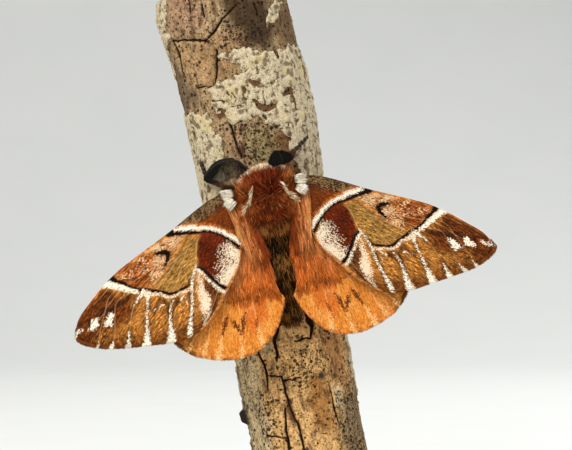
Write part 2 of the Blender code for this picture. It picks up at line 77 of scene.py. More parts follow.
def unit(vectors):
    """Each vector divided by its own length."""
    return vectors / np.maximum(np.linalg.norm(vectors, axis=-1, keepdims=True), 1e-9)


def rgb(red, green, blue):
    """A screen colour of 0 to 255 as the linear light that a shader needs."""
    c = np.array([red, green, blue]) / 255
    return np.where(c <= 0.04045, c / 12.92, ((c + 0.055) / 1.055) ** 2.4)


# %% [markdown]
# ## Camera and studio
# A small subject is photographed with a long lens from some way off, which keeps the wings' proportions true.
# The field is 71.5 mm wide at the wings. Broad area lights and a pale sweep give soft, even studio light.

# %% camera
EYE = (0.0, -362.0, 43.6)
EYE_TO_WINGS = 350.0
FIELD_WIDTH = 71.5

camera_data = bpy.data.cameras.new("camera")
camera_data.sensor_width = 36.0
camera_data.lens = camera_data.sensor_width * EYE_TO_WINGS / FIELD_WIDTH
camera_data.clip_start, camera_data.clip_end = 0.02, 20.0
camera = bpy.data.objects.new("camera", camera_data)
camera.location = Vector(EYE) * MM
camera.rotation_euler = (math.pi / 2, 0, 0)
bpy.context.scene.collection.objects.link(camera)
bpy.context.scene.camera = camera
bpy.context.scene.view_settings.view_transform = "Standard"


# %% lights
def area_light(name, place, aim, size, watts, tint=(1, 1, 1)):
    """A square lamp at place that faces aim, both in metres."""
    data = bpy.data.lights.new(name, "AREA")
    data.size, data.energy, data.color = size, watts, tint
    lamp = bpy.data.objects.new(name, data)
    lamp.location = place
    lamp.rotation_euler = (Vector(aim) - Vector(place)).to_track_quat("-Z", "Y").to_euler()
    bpy.context.scene.collection.objects.link(lamp)


SUBJECT = (0.0, -0.01, 0.045)
area_light("key", (-0.28, -0.42, 0.52), SUBJECT, 0.30, 4.4, (1.0, 0.98, 0.95))
area_light("fill", (0.50, -0.45, 0.12), SUBJECT, 0.50, 1.6, (0.98, 0.99, 1.0))
area_light("rim", (0.25, 0.40, 0.45), SUBJECT, 0.30, 1.8)
world = bpy.data.worlds.new("studio")
world.use_nodes = True
world.node_tree.nodes["Background"].inputs["Color"].default_value = (1.0, 1.0, 1.0, 1)
world.node_tree.nodes["Background"].inputs["Strength"].default_value = 0.42
bpy.context.scene.world = world

# %% [markdown]
# ## Meshes from whole arrays
# Every new piece is a few numpy arrays: points, faces, and values that its material reads. One helper puts them
# into a mesh. A grid of points needs only its two counts to know its faces.


# %% mesh helpers
def make_mesh(name, points, faces, material, values=None, maps=None):
    """A smooth mesh from points in metres and a list of face arrays, with point values and UV maps by name."""
    groups = [np.asarray(g, np.int32) for g in faces]
    loops = np.concatenate([g.ravel() for g in groups])
    sizes = np.concatenate([np.full(len(g), g.shape[1]) for g in groups])
    mesh = bpy.data.meshes.new(name)
    mesh.vertices.add(len(points))
    mesh.vertices.foreach_set("co", np.asarray(points, np.float32).ravel())
    mesh.loops.add(len(loops))
    mesh.loops.foreach_set("vertex_index", loops)
    mesh.polygons.add(len(sizes))
    mesh.polygons.foreach_set("loop_start", np.r_[0, np.cumsum(sizes)[:-1]].astype(np.int32))
    mesh.update(calc_edges=True)
    for key, value in (values or {}).items():
        value = np.asarray(value, np.float32)
        colour = value.ndim == 2
        layer = mesh.attributes.new(key, "FLOAT_COLOR" if colour else "FLOAT", "POINT")
        if colour:
            layer.data.foreach_set("color", np.c_[value, np.ones(len(value), np.float32)].ravel())
        else:
            layer.data.foreach_set("value", value)
    for key, uv in (maps or {}).items():
        mesh.uv_layers.new(name=key).data.foreach_set("uv", np.asarray(uv, np.float32)[loops].ravel())
    mesh.shade_smooth()
    mesh.materials.append(material)
    piece = bpy.data.objects.new(name, mesh)
    bpy.context.scene.collection.objects.link(piece)
    return piece


def dress(piece, slot, *nodes):
    """The piece rides on the model and stands for these nodes, if any. The slot is not used."""
    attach(piece, "root")
    if nodes:
        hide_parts(*nodes)
    triangles = sum(len(p.vertices) - 2 for p in piece.data.polygons)
    print(f"{piece.name}: {triangles} triangles")
    return piece


def grid_faces(rows, columns, wrap=False, first=0):
    """Quads between neighbours of a grid of points numbered row by row. wrap joins the last column to the first."""
    i, j = np.meshgrid(np.arange(rows - 1), np.arange(columns if wrap else columns - 1), indexing="ij")
    a, b = i * columns + j, i * columns + (j + 1) % columns
    return first + np.stack([a, b, b + columns, a + columns], -1).reshape(-1, 4)


def through(points, count):
    """count points, evenly spaced, on a smooth (Catmull-Rom) curve through the given ones."""
    pts = np.array(points, float)
    ends = np.vstack([2 * pts[0] - pts[1], pts, 2 * pts[-1] - pts[-2]])
    t = np.linspace(0, 1, 24, endpoint=False)[None, :, None]
    a, b, c, d = (ends[k:len(ends) - 3 + k, None, :] for k in range(4))
    dense = 0.5 * (2 * b + (c - a) * t + (2 * a - 5 * b + 4 * c - d) * t**2 + (3 * b - a - 3 * c + d) * t**3)
    dense = np.vstack([dense.reshape(-1, pts.shape[1]), pts[-1:]])
    run = np.r_[0, np.cumsum(np.linalg.norm(np.diff(dense, axis=0), axis=1))]
    even = np.linspace(0, run[-1], count)
    return np.column_stack([np.interp(even, run, dense[:, k]) for k in range(pts.shape[1])])


def lattice_noise(points, seed=0):
    """Smooth noise from -1 to 1: a random number at each whole-number place, blended between neighbours."""
    cell = np.floor(points).astype(np.int64)
    f = points - cell
    f = f * f * (3 - 2 * f)
    total = np.zeros(len(points))
    for corner in range(8):
        step = np.array([corner >> 2 & 1, corner >> 1 & 1, corner & 1])
        x, y, z = (cell + step).T
        n = (x * 73856093) ^ (y * 19349663) ^ (z * 83492791) ^ (seed * 97531)
        n = (n ^ (n >> 13)) * 1274126177 & 0x7FFFFFFF
        weight = np.prod(np.where(step, f, 1 - f), axis=1)
        total += weight * ((n ^ (n >> 16)) % 65521 / 32760.0 - 1)
    return total


def layered_noise(points, scale, layers=4, seed=0):
    """Noise at a scale and its halves: layer k has waves 1/2^k as long and 1/2^k as high."""
    return sum(lattice_noise(points / scale * 2**k + 7.3 * k, seed + k) / 2**k for k in range(layers))


def noises(points, scale, layers, *seeds):
    """Layered noise in as many columns as there are seeds, to shift or turn things by."""
    return np.stack([layered_noise(points, scale, layers, seed) for seed in seeds], -1)


def tubes(paths, radii, sides):
    """(points, face arrays) of many closed round tubes: a ring of sides points about each path point."""
    paths, radii = np.asarray(paths, float), np.asarray(radii, float)
    n, k = paths.shape[:2]
    ahead = unit(np.gradient(paths, axis=1))
    helper = np.where(np.abs(ahead[:, :1, 2:]) > 0.9, [[[1.0, 0, 0]]], [[[0, 0, 1.0]]])
    across = unit(np.cross(ahead, helper))
    above = np.cross(across, ahead)
    a = 2 * np.pi * np.arange(sides) / sides
    ring = across[:, :, None] * np.cos(a)[:, None] - above[:, :, None] * np.sin(a)[:, None]
    points = (paths[:, :, None] + ring * radii[:, :, None, None]).reshape(-1, 3)
    one = grid_faces(k, sides, wrap=True)
    start = np.arange(n)[:, None, None] * k * sides
    quads = (one[None] + start).reshape(-1, 4)
    root = np.arange(sides)[::-1][None] + start[:, 0]
    tip = np.arange(sides)[None] + (k - 1) * sides + start[:, 0]
    return points, [quads, root, tip]


# %% [markdown]
# ## Shader helpers
# Materials are built from nodes in code. A few short functions keep that readable: one adds a node and fills its
# sockets, the others name the operations used most.


# %% node helpers
def node(tree, kind, inputs=None, **settings):
    """A new node with these settings. An input is linked if it is a socket, and set if it is a value."""
    made = tree.nodes.new(kind)
    for key, value in settings.items():
        setattr(made, key, value)
    for key, value in (inputs or {}).items():
        if isinstance(value, bpy.types.NodeSocket):
            tree.links.new(value, made.inputs[key])
        else:
            made.inputs[key].default_value = value
    return made


def calc(tree, operation, *values, clamp=False):
    """The result of a Math node."""
    return node(tree, "ShaderNodeMath", dict(enumerate(values)), operation=operation, use_clamp=clamp).outputs[0]


def blend(tree, share, first, second, mode="MIX"):
    """The first colour with a share of the second mixed in."""
    made = node(tree, "ShaderNodeMix", {"Factor": share}, data_type="RGBA", blend_type=mode, clamp_factor=True)
    for socket, value in ((made.inputs[6], first), (made.inputs[7], second)):
        if isinstance(value, bpy.types.NodeSocket):
            tree.links.new(value, socket)
        else:
            socket.default_value = (*value, 1)
    return made.outputs[2]


def stored(tree, name, output="Fac"):
    """A value or colour that the mesh's points carry."""
    return node(tree, "ShaderNodeAttribute", attribute_name=name).outputs[output]


def noise(tree, vector, scale, detail=3.0, rough=0.5):
    """The value of a noise texture."""
    return node(tree, "ShaderNodeTexNoise", {"Vector": vector, "Scale": scale, "Detail": detail,
                                             "Roughness": rough}).outputs["Fac"]


def object_place(tree):
    """The point's place on the object, in metres."""
    return node(tree, "ShaderNodeTexCoord").outputs["Object"]


def scaled(tree, vector, factors):
    """A vector times a factor for each of its axes."""
    return node(tree, "ShaderNodeVectorMath", {0: vector, 1: factors}, operation="MULTIPLY").outputs[0]


def spread(tree, value, low, high, to_low=0.0, to_high=1.0):
    """Value from low to high carried, with soft ends, to the new range."""
    return node(tree, "ShaderNodeMapRange", {0: value, 1: low, 2: high, 3: to_low, 4: to_high},
                interpolation_type="SMOOTHSTEP").outputs[0]


SOOT = (0.01, 0.005, 0.003)  # the near black that shades scales and hair


def new_material(name, rough=0.6, metal=0.0):
    """(material, its tree, its shader) with the constant values set on the shader itself."""
    material = bpy.data.materials.new(name)
    material.use_nodes = True
    tree = material.node_tree
    shader = tree.nodes["Principled BSDF"]
    shader.inputs["Roughness"].default_value = rough
    shader.inputs["Metallic"].default_value = metal
    return material, tree, shader


def bump(tree, shader, height, strength, distance):
    """Shades the surface as if the height raised it by up to distance, in metres."""
    tree.links.new(node(tree, "ShaderNodeBump", {"Height": height, "Strength": strength,
                                                 "Distance": distance}).outputs[0], shader.inputs["Normal"])


def new_group(name, inputs, outputs):
    """(group tree, its input sockets, its output node) with sockets from (name, type) pairs."""
    tree = bpy.data.node_groups.new(name, "ShaderNodeTree")
    for direction, pairs in (("INPUT", inputs), ("OUTPUT", outputs)):
        for label, kind in pairs:
            tree.interface.new_socket(name=label, in_out=direction, socket_type="NodeSocket" + kind)
    return tree, tree.nodes.new("NodeGroupInput").outputs, tree.nodes.new("NodeGroupOutput")


# %% [markdown]
# ## Floor and backdrop
# A photographer's sweep is one pale sheet that lies flat, bends and rises behind the subject, so no edge shows.
# It is a profile carried sideways: flat floor, a quarter circle, then a wall.

# %% sweep
SWEEP_BACK, SWEEP_BEND, SWEEP_WALL, SWEEP_HALF = 0.5, 0.35, 2.2, 2.5
bend_angle = np.linspace(0, np.pi / 2, 24)
profile = np.vstack([[-2.5, 0.0],
                     np.c_[SWEEP_BACK + SWEEP_BEND * np.sin(bend_angle), SWEEP_BEND * (1 - np.cos(bend_angle))],
                     [SWEEP_BACK + SWEEP_BEND, SWEEP_WALL]])
sweep_points = np.vstack([np.c_[np.full(len(profile), x), profile] for x in (-SWEEP_HALF, SWEEP_HALF)])
sweep_material, tree, shader = new_material("pale_paper", 0.9)
paper = noise(tree, object_place(tree), 40.0)
tree.links.new(blend(tree, paper, rgb(226, 228, 226), rgb(232, 233, 231)), shader.inputs["Base Color"])
sweep = make_mesh("sweep", sweep_points, [grid_faces(2, len(profile))[:, ::-1]], sweep_material)

# %% [markdown]
# ## Closed skins from rings
# A base, a branch, a body and an eye are all rings of points, one behind the other. Quads join the rings, and a
# fan of triangles closes each end at a middle point, so no hole or open seam is left.


# %% closed rings
def closed_rings(rings):
    """(points, face arrays) of a closed skin: quads between the rings, and a fan from the middle of each end ring."""
    rows, columns = rings.shape[:2]
    points = np.vstack([rings.reshape(-1, 3), rings[0].mean(0), rings[-1].mean(0)])
    j = np.arange(columns)
    k = (j + 1) % columns
    last = (rows - 1) * columns
    start = np.stack([np.full(columns, rows * columns), k, j], -1)
    end = np.stack([np.full(columns, rows * columns + 1), last + j, last + k], -1)
    return points, [grid_faces(rows, columns, wrap=True), start, end]


def spun(profile, sides):
    """Rings of a turned piece: each (radius, height) of the profile swept round the upright axis."""
    a = 2 * np.pi * np.arange(sides) / sides
    profile = np.array(profile, float)
    return np.stack([profile[:, :1] * np.cos(a), profile[:, :1] * np.sin(a),
                     np.repeat(profile[:, 1:], sides, axis=1)], -1)


def rounded(corner_in, corner_out, middle, steps=6):
    """A quarter circle of a profile, from corner_in to corner_out about middle."""
    t = np.linspace(0, np.pi / 2, steps)[:, None]
    middle = np.array(middle, float)
    return middle + np.cos(t) * (np.array(corner_in) - middle) + np.sin(t) * (np.array(corner_out) - middle)


# %% [markdown]
# ## The stand
# The museum's mount is a low turned disc of dark stained wood with a steel rod that carries the branch. A turned
# piece is one profile swept round its axis. Its edges are small quarter circles, because a lathe leaves no sharp
# corner, and a little bead round the rod hides the hole.

# %% wood grain, shared by the base and by the branch's sawn ends
wood_grain, g_in, g_out = new_group("wood_grain", [("Vector", "Vector"), ("Scale", "Float"), ("Light", "Color"),
                                                   ("Dark", "Color")], [("Color", "Color"), ("Height", "Float")])
tree = wood_grain
stretched = node(tree, "ShaderNodeVectorMath", {0: g_in["Vector"], "Scale": g_in["Scale"]},
                 operation="SCALE").outputs[0]
drawn_out = scaled(tree, stretched, (0.16, 1.0, 1.0))
warp = noise(tree, drawn_out, 1.1, 2.0)
lines = calc(tree, "SINE", calc(tree, "MULTIPLY", warp, 60.0))
pores = noise(tree, scaled(tree, stretched, (2.0, 34.0, 34.0)), 1.0, 4.0)
figure = calc(tree, "ADD", calc(tree, "MULTIPLY", lines, 0.12), calc(tree, "MULTIPLY", pores, 0.9))
share = spread(tree, figure, 0.15, 0.75)
tree.links.new(blend(tree, share, g_in["Dark"], g_in["Light"]), g_out.inputs["Color"])
tree.links.new(figure, g_out.inputs["Height"])

# %% base
BASE_RADIUS, BASE_HEIGHT, BASE_EDGE = 28.0, 5.0, 0.9
BOSS_RADIUS, BOSS_HEIGHT, ROD_RADIUS = 3.4, 1.2, 1.5
ROD_FOOT = (BRANCH @ [0, 0, 0, 1])[:3]
ROD_TOP = ROD_FOOT + (ROD_FOOT[2] - BASE_HEIGHT) * np.array([math.tan(math.radians(BRANCH_LEAN)), 0, -1])
ROD_LINE = (ROD_FOOT - ROD_TOP) / np.linalg.norm(ROD_FOOT - ROD_TOP)

base_profile = np.vstack([
    [(24.0, 0.25), (24.6, 0.0)],
    rounded((BASE_RADIUS - BASE_EDGE, 0), (BASE_RADIUS, BASE_EDGE), (BASE_RADIUS - BASE_EDGE, BASE_EDGE)),
    rounded((BASE_RADIUS, BASE_HEIGHT - BASE_EDGE - 0.5), (BASE_RADIUS - 0.5, BASE_HEIGHT - BASE_EDGE),
            (BASE_RADIUS - 0.5, BASE_HEIGHT - BASE_EDGE - 0.5)),
    rounded((BASE_RADIUS - 0.75, BASE_HEIGHT - 0.6), (BASE_RADIUS - 1.35, BASE_HEIGHT),
            (BASE_RADIUS - 1.35, BASE_HEIGHT - 0.6)),
    [(20.0, BASE_HEIGHT), (8.0, BASE_HEIGHT), (1.0, BASE_HEIGHT)]])
stain, tree, shader = new_material("dark_stained_wood", 0.42)
grain = node(tree, "ShaderNodeGroup", node_tree=wood_grain)
tree.links.new(object_place(tree), grain.inputs["Vector"])
grain.inputs["Scale"].default_value = 55.0
grain.inputs["Light"].default_value = (*rgb(104, 66, 40), 1)
grain.inputs["Dark"].default_value = (*rgb(44, 26, 16), 1)
tree.links.new(grain.outputs["Color"], shader.inputs["Base Color"])
bump(tree, shader, grain.outputs["Height"], 0.25, 0.0002)
tree.links.new(spread(tree, grain.outputs["Height"], 0.1, 0.9, 0.5, 0.34), shader.inputs["Roughness"])
points, faces = closed_rings(spun(base_profile, 192))
bead_profile = np.vstack([[(BOSS_RADIUS, -0.5)], [(BOSS_RADIUS, 0.3)],
                          rounded((BOSS_RADIUS, 0.5), (BOSS_RADIUS - 0.7, BOSS_HEIGHT), (BOSS_RADIUS - 0.7, 0.5)),
                          rounded((BOSS_RADIUS - 1.3, BOSS_HEIGHT), (BOSS_RADIUS - 1.7, BOSS_HEIGHT - 0.4),
                                  (BOSS_RADIUS - 1.3, BOSS_HEIGHT - 0.4))])
bead_points, bead_faces = closed_rings(spun(bead_profile, 72) + ROD_TOP)
faces += [f + len(points) for f in bead_faces]
dress(make_mesh("turned_base", np.vstack([points, bead_points]) * MM, faces, stain), "stand", "stand_base")

# %% rod
steel, tree, shader = new_material("brushed_steel", 0.3, 1.0)
shader.inputs["Base Color"].default_value = (*rgb(176, 174, 170), 1)
coordinates = object_place(tree)
brushing = noise(tree, scaled(tree, coordinates, (1500.0, 1500.0, 9000.0)), 1.0, 2.0)
tree.links.new(spread(tree, brushing, 0.2, 0.8, 0.22, 0.42), shader.inputs["Roughness"])
bump(tree, shader, brushing, 0.15, 0.00005)
rod_length = np.linalg.norm(ROD_FOOT - ROD_TOP)
rod_run = np.array([-2.6, -2.0, 0.5, 1.0, rod_length / 2, rod_length - 0.4, rod_length + 0.25])
rod_points, rod_faces = tubes([ROD_TOP + rod_run[:, None] * ROD_LINE], [np.full(7, ROD_RADIUS)], 48)
dress(make_mesh("mount_rod", rod_points * MM, rod_faces, steel), "steel", "stand_rod")

# %% [markdown]
# ## Distances to drawn lines and areas
# Cracks in bark, veins and bands on a wing are lines of changing width, and patches are areas. A signed distance
# to each says how far outside (above zero) or inside (below zero) a point is. Shaders turn that into clean or
# ragged edges at any size, which a painted picture could not do.


# %% signed distances
def to_line(points, line):
    """Distance from each point to a line of (x, y, width), less half the width there."""
    line = np.array(line, float)
    a, b = line[:-1], line[1:]
    best = np.full(len(points), 1e3)
    for start, end in zip(a, b):
        run = end[:2] - start[:2]
        t = np.clip(((points - start[:2]) @ run) / max(run @ run, 1e-9), 0, 1)
        gap = np.linalg.norm(points - start[:2] - t[:, None] * run, axis=1)
        best = np.minimum(best, gap - (start[2] + (end[2] - start[2]) * t) / 2)
    return best


def to_lines(points, *lines):
    """The smallest of the distances to several lines."""
    return np.min([to_line(points, line) for line in lines], axis=0)


def to_area(points, corners):
    """Distance to the edge of an area, negative inside it. A point is inside if a ray from it crosses an odd count."""
    corners = np.array(corners, float)
    inside = np.zeros(len(points), bool)
    for a, b in zip(corners, np.roll(corners, -1, axis=0)):
        crosses = (a[1] > points[:, 1]) != (b[1] > points[:, 1])
        at = a[0] + (points[:, 1] - a[1]) * (b[0] - a[0]) / (b[1] - a[1] if b[1] != a[1] else 1e-9)
        inside ^= crosses & (points[:, 0] < at)
    ring = np.c_[np.vstack([corners, corners[:1]]), np.zeros(len(corners) + 1)]
    return np.where(inside, -1, 1) * to_line(points, ring)


def paint(ground, share, tint):
    """The ground with a share of a tint laid over it, point by point."""
    return ground + share[:, None] * (np.asarray(tint) - ground)


def plain(count, red, green, blue):
    """One screen colour for each of count points."""
    return np.tile(rgb(red, green, blue), (count, 1))


def soft(distance, edge):
    """1 well inside, 0 well outside, and a smooth step of width 2 * edge between."""
    t = np.clip(0.5 - distance / (2 * edge), 0, 1)
    return t * t * (3 - 2 * t)


# %% [markdown]
# ## The branch
# Old bark is smooth tan plates, parted by dark cracks, with crusts of cream lichen that stand up in ruffles. The
# branch is one grid wrapped round a cylinder. Cracks are cut in along drawn lines, the crust is raised inside
# drawn areas, and noise roughens both. Each point also stores how much crust and crack it has, for the material.

# %% bark features, as degrees round from the front, millimetres up from the lower cut, and a width
CRACKS = [
    [(-80, 59.1, .15), (-66, 56.9, .3), (-63, 55.5, .4), (-62, 53.9, .45), (-64, 51.6, .2)],
    [(-67, 56.7, .08), (-44, 56.1, .12), (-28, 55.5, .1), (-18, 56.4, .16), (-9, 57.9, .12), (10, 59.6, .05)],
    [(-26, 60.2, .12), (-25, 58.5, .04)], [(-19, 54.3, .05), (-20, 53.1, .16), (-23, 51.3, .1), (-27, 49.6, .04)],
    [(-19, 44.8, .04), (-17, 43.5, .14), (-15, 41.4, .12), (-13, 40, .05)], [(28, 59.2, .12), (29, 57.5, .04)],
    [(-47, 50.1, .03), (-26, 49.6, .06)], [(-40, 61.5, .03), (-37, 59.6, .05)],
    [(-33, 17.6, .05), (-32, 15.4, .25), (-29, 14, .2), (-28, 12.3, .24), (-29, 10.2, .06)],
    [(-3, 19.6, .1), (-5, 18.6, .35), (-13, 16.5, .4), (-12, 15.2, .3), (-14, 13.7, .06)],
    [(22, 19.6, .2), (25, 18.2, .9), (27, 17.3, .4), (23, 15.9, .1), (14, 16, .12), (6, 16, .04)],
    [(-25, 12.1, .12), (-12, 11.7, .12), (-11, 11.1, .1), (-2, 11.2, .05), (6, 11.4, .02)],
    [(-11, 11.1, .1), (-11, 9.6, .12), (-10, 8.2, .1), (-6, 6.0, .12), (-4, 4.8, .18), (-2, 2.2, .12), (0, 0, .1)],
    [(-14, 7.6, .06), (-16, 6.2, .14), (-17, 4.2, .16), (-18, 1.7, .2), (-18, 0, .16)],
    [(-41, 4.6, .1), (-30, 4.3, .08), (-17, 3.9, .06)], [(-50, 4.4, .04), (-51, 2.2, .1), (-52, 0, .08)],
    [(33, 9.7, .04), (34, 7.5, .07), (35, 6, .1), (37, 4.6, .12), (39, 3.8, .04)],
    [(-59, 14.5, .06), (-63, 11.6, .06)]]
CRUSTS = [  # areas of lichen
    [(-20, 53.5), (2, 53.7), (28, 52.9), (88, 53), (104, 49), (88, 44.3), (25, 43.3), (5, 44.9), (-16, 44.6),
     (-34, 47.3), (-23, 50.5), (4, 50.6), (5, 51.9)],
    [(-104, 62.5), (-60, 62.5), (-63, 60), (-72, 57), (-88, 53.0), (-108, 56)],
    [(-108, 46), (-88, 47), (-39, 46.5), (-36, 44), (-28, 42.5), (-33, 40.3), (-40, 36), (-70, 34), (-104, 38)],
    [(25, 43.3), (88, 44.3), (104, 41), (96, 34), (60, 33.5), (44, 37.5), (34, 41.4)],
    [(46, 59), (66, 58.9), (50, 56.9), (36, 56.1)], [(72, 17), (84, 16), (84, 9), (74, 10)],
    [(-84, 13), (-74, 14), (-76, 8), (-86, 7)]]
HOLES = [  # places where brown bark shows through the lichen
    [(9, 49.6, .5), (14, 49.1, .7)], [(1, 48.6, .6), (1, 48.2, .4)], [(-16, 48.5, .3), (-15, 48.3, .2)],
    [(-12, 48.5, .15), (-9, 47.8, .15), (-2, 47.6, .1), (1, 47.2, .3)],
    [(8, 47, .5), (13, 46.2, .8), (18, 45.8, .9), (25, 45.8, .8)],
    [(39, 47.1, .4), (48, 47.6, .9), (50, 46.2, .4), (51, 45, .3)], [(40, 52.7, .6), (42, 52, .5)],
    [(36, 48.4, .2), (37, 48.3, .15)], [(-30, 47.8, .25), (-20, 47.6, .15)],
    [(-14, 46.7, .12), (-6, 46.7, .12), (0, 46.9, .12)], [(0, 45.9, .15), (0, 45.5, .1)],
    [(4, 45.2, .25), (5, 44.9, .2)], [(15, 44.9, .4), (16, 44.5, .3)], [(46, 43.6, .2), (49, 43.4, .2)],
    [(57, 42.8, .25), (62, 42.8, .2)], [(37, 45.8, .08), (44, 46, .1), (50, 46.2, .3)],
    [(19, 48, .15), (19, 47.1, .1), (19, 46.4, .2)], [(-72, 42, .3), (-67, 41.1, .2)],
    [(-27, 46.6, .5), (-20, 46.3, .3)], [(-26, 45.8, .7), (-23, 45.9, .5)], [(26, 41.8, .5), (36, 41.5, .4)],
    [(62, 47.7, .15), (66, 47.3, .2)], [(16, 50.3, .1), (18, 50.2, .1)], [(20, 43.2, .3), (29, 43.5, .2)]]
SPECKS = [  # areas of small black dots
    [(-12, 58.5), (38, 57.2), (25, 53.4), (-15, 54.3)], [(-16, 44.8), (25, 43.5), (30, 37.6), (-14, 37.8)],
    [(-2, 14.6), (34, 13.2), (19, 9.8), (-8, 10.5)], [(-41, 9.9), (-17, 9.2), (-25, 4.7), (-47, 4.7)],
    [(40, 9), (75, 9), (75, 0), (36, 0)]]
RECESS = [(-14, 8.8), (-5, 8.8), (-5, 5.6), (-13, 5.2)]  # where a flake of bark is missing
STAINS_AND_PAINTED_LIGHT = [  # (area, how soft its edge is, colour)
    ([(-62, 62), (-20, 62), (-25, 57), (-62, 57.5)], 1.0, (168, 134, 104)),
    ([(-67, 56.5), (-20, 55.5), (-22, 50), (-47, 50), (-60, 52)], 1.0, (176, 142, 100)),
    ([(-95, 54), (-60, 52), (-42, 48), (-95, 47)], 0.8, (108, 90, 70)),
    ([(-10, 62), (44, 60), (46, 55), (30, 53.0), (2, 54.0)], 1.4, (24, 15, 8)),
    ([(44, 57), (90, 60), (90, 53), (50, 53)], 1.0, (112, 88, 60)),
    ([(-36, 56), (6, 56), (2, 46), (-30, 46)], 1.2, (158, 126, 88)),
    # a pale patch low on the left: partly the bark's own pale tone, partly painted light where the moth's shadow falls
    ([(-80, 20), (-35, 20), (-36, 0), (-80, 0)], 1.0, (226, 204, 158)),
    ([(8, 11), (30, 11), (30, 3.5), (12, 4)], 1.0, (162, 110, 54)),
    ([(32, 20), (62, 20), (60, 9), (36, 11)], 1.0, (170, 122, 74)),
    ([(-28, 20), (-14, 18.5), (-16, 14.8), (-28, 15)], 0.5, (164, 154, 108)), (RECESS, 0.35, (92, 58, 34)),
    ([(40, 8), (84, 8), (84, 0), (38, 0)], 1.0, (142, 122, 90)),
    ([(35, 9.7), (47, 9.2), (43, 6.7), (34, 6.2)], 0.4, (206, 184, 142)),
    ([(-22, 44), (-6, 44), (-6, 37), (-22, 37)], 1.0, (160, 128, 96)),
    ([(-4, 44), (24, 43), (24, 37), (-4, 37)], 0.8, (150, 134, 92)),
    ([(24, 43), (42, 42), (52, 30), (22, 30)], 0.6, (122, 84, 50))]
KNOB, KNOT = (-78, 7.1), (28, 11.0)  # a bud that stands out, and a knot
ARC = BRANCH_RADIUS * math.pi / 180  # millimetres of bark for one degree


def on_bark(rows):
    """Feature points with their degrees turned into millimetres across."""
    return [(row[0] * ARC, *row[1:]) for row in rows]


# %% bark relief
def bark_radius(angle, height):
    """The branch's plain radius: long low swells away from the front line, and a slight taper."""
    swell = (0.30 * np.cos(2 * angle + 0.05 * height) + 0.16 * np.cos(3 * angle - 0.11 * height)
             + 0.12 * np.cos(5 * angle + 0.07 * height + 1.0) + 0.10 * np.sin(0.31 * height + 2 * angle))
    return BRANCH_RADIUS * (1 + 0.05 * (0.5 - height / BRANCH_LENGTH)) + swell * (0.5 - 0.5 * np.cos(angle))


def flank(angle, height):
    """How much fuller the branch is at each flank than its plain radius, as the photo's outline shows."""
    left = np.interp(height, [0, 20, 36, 42, 46, 50, 53, 55, 57, 59.5, 62],
                     [-0.65, -0.6, 0, 0.2, 0.5, 0.8, 0.8, 1.0, 1.4, 1.8, 1.3])
    right = np.interp(height, [0, 36, 40, 44, 47, 50, 53, 56, 59, 62],
                      [0, 0.1, 0.45, 0.8, 0.7, 0.55, 0.25, 0, 0, 0.4])
    return left * np.maximum(-np.sin(angle), 0) ** 1.5 + right * np.maximum(np.sin(angle), 0) ** 1.5


def plate_edges(points, seeds):
    """Distance to the nearest border between plates: that to the second nearest seed less that to the nearest."""
    nearest = np.empty((len(points), 2))
    for part in range(0, len(points), 20000):
        gaps = np.linalg.norm(points[part:part + 20000, None] - seeds[None], axis=2)
        nearest[part:part + 20000] = np.partition(gaps, 1, axis=1)[:, :2]
    return nearest[:, 1] - nearest[:, 0]


# the grid is finer in front and at the two lengths that the moth leaves bare
column_angles = np.concatenate([np.linspace(-100, 100, 252, endpoint=False),
                                np.linspace(100, 260, 88, endpoint=False)])
row_heights = np.concatenate([np.linspace(0.12, 20, 112, endpoint=False), np.linspace(20, 36, 44, endpoint=False),
                              np.linspace(36, BRANCH_LENGTH - 0.12, 122)])
BARK_ROWS, BARK_COLUMNS = len(row_heights), len(column_angles)
angle, height = np.meshgrid(column_angles, row_heights)
angle, height = (angle.ravel() + 180) % 360 - 180, height.ravel()
a = np.radians(angle)
round_about = np.c_[BRANCH_RADIUS * np.sin(a), -BRANCH_RADIUS * np.cos(a), height]
streaked = round_about * [1, 1, 0.35]
wander = noises(round_about, 1.3, 4, 5, 9) * 0.16
flat = np.c_[angle * ARC, height] + wander

rng = np.random.default_rng(7)
seed_angle, seed_height = np.radians(rng.uniform(-180, 180, 230)), rng.uniform(-2, BRANCH_LENGTH + 2, 230)
seeds = np.c_[BRANCH_RADIUS * np.sin(seed_angle), -BRANCH_RADIUS * np.cos(seed_angle), seed_height * 0.62]
warped = round_about * [1, 1, 0.62] + np.c_[wander, -wander[:, :1]] * 2.5
between_plates = plate_edges(warped, seeds)

crack_gap = to_lines(flat, *[on_bark(line) for line in CRACKS])
crack = np.exp(-(np.maximum(crack_gap, 0) / 0.10) ** 2)
back = np.clip((np.abs(angle) - 60) / 30, 0, 1)
fine_crack = np.exp(-(between_plates / 0.10) ** 2) * (0.45 + 0.55 * back)
fine_crack *= np.clip(1.3 * layered_noise(round_about, 5.0, 2, 21) + 0.35, 0, 1)
crust_gap = np.min([to_area(flat, on_bark(area)) for area in CRUSTS], axis=0)
stray = layered_noise(round_about, 6.0, 3, 31) - 1.9 + 1.6 * back
lobes = 0.45 * layered_noise(round_about, 1.3, 3, 33) + 0.22 * layered_noise(round_about, 0.4, 2, 35)
crust = np.maximum(soft(crust_gap + lobes, 0.16), soft(-stray * 2.0 + lobes, 0.2))
wrinkle = 1 - np.abs(layered_noise(round_about, 0.75, 3, 41))
pits = soft(layered_noise(round_about, 0.75, 2, 47) + 0.86, 0.12)
pits = np.maximum(pits, soft(layered_noise(round_about, 1.6, 2, 49) + 1.05, 0.12))
holes = soft(to_lines(flat, *[on_bark(line) for line in HOLES]) - 0.03, 0.08)
crust *= 1 - 0.95 * np.maximum(pits, holes)
specks = soft(np.min([to_area(flat, on_bark(area)) for area in SPECKS], axis=0), 0.8)
knob = np.exp(-((np.hypot((flat[:, 0] - KNOB[0] * ARC) * 1.3, flat[:, 1] - KNOB[1]) / 0.95) ** 4))
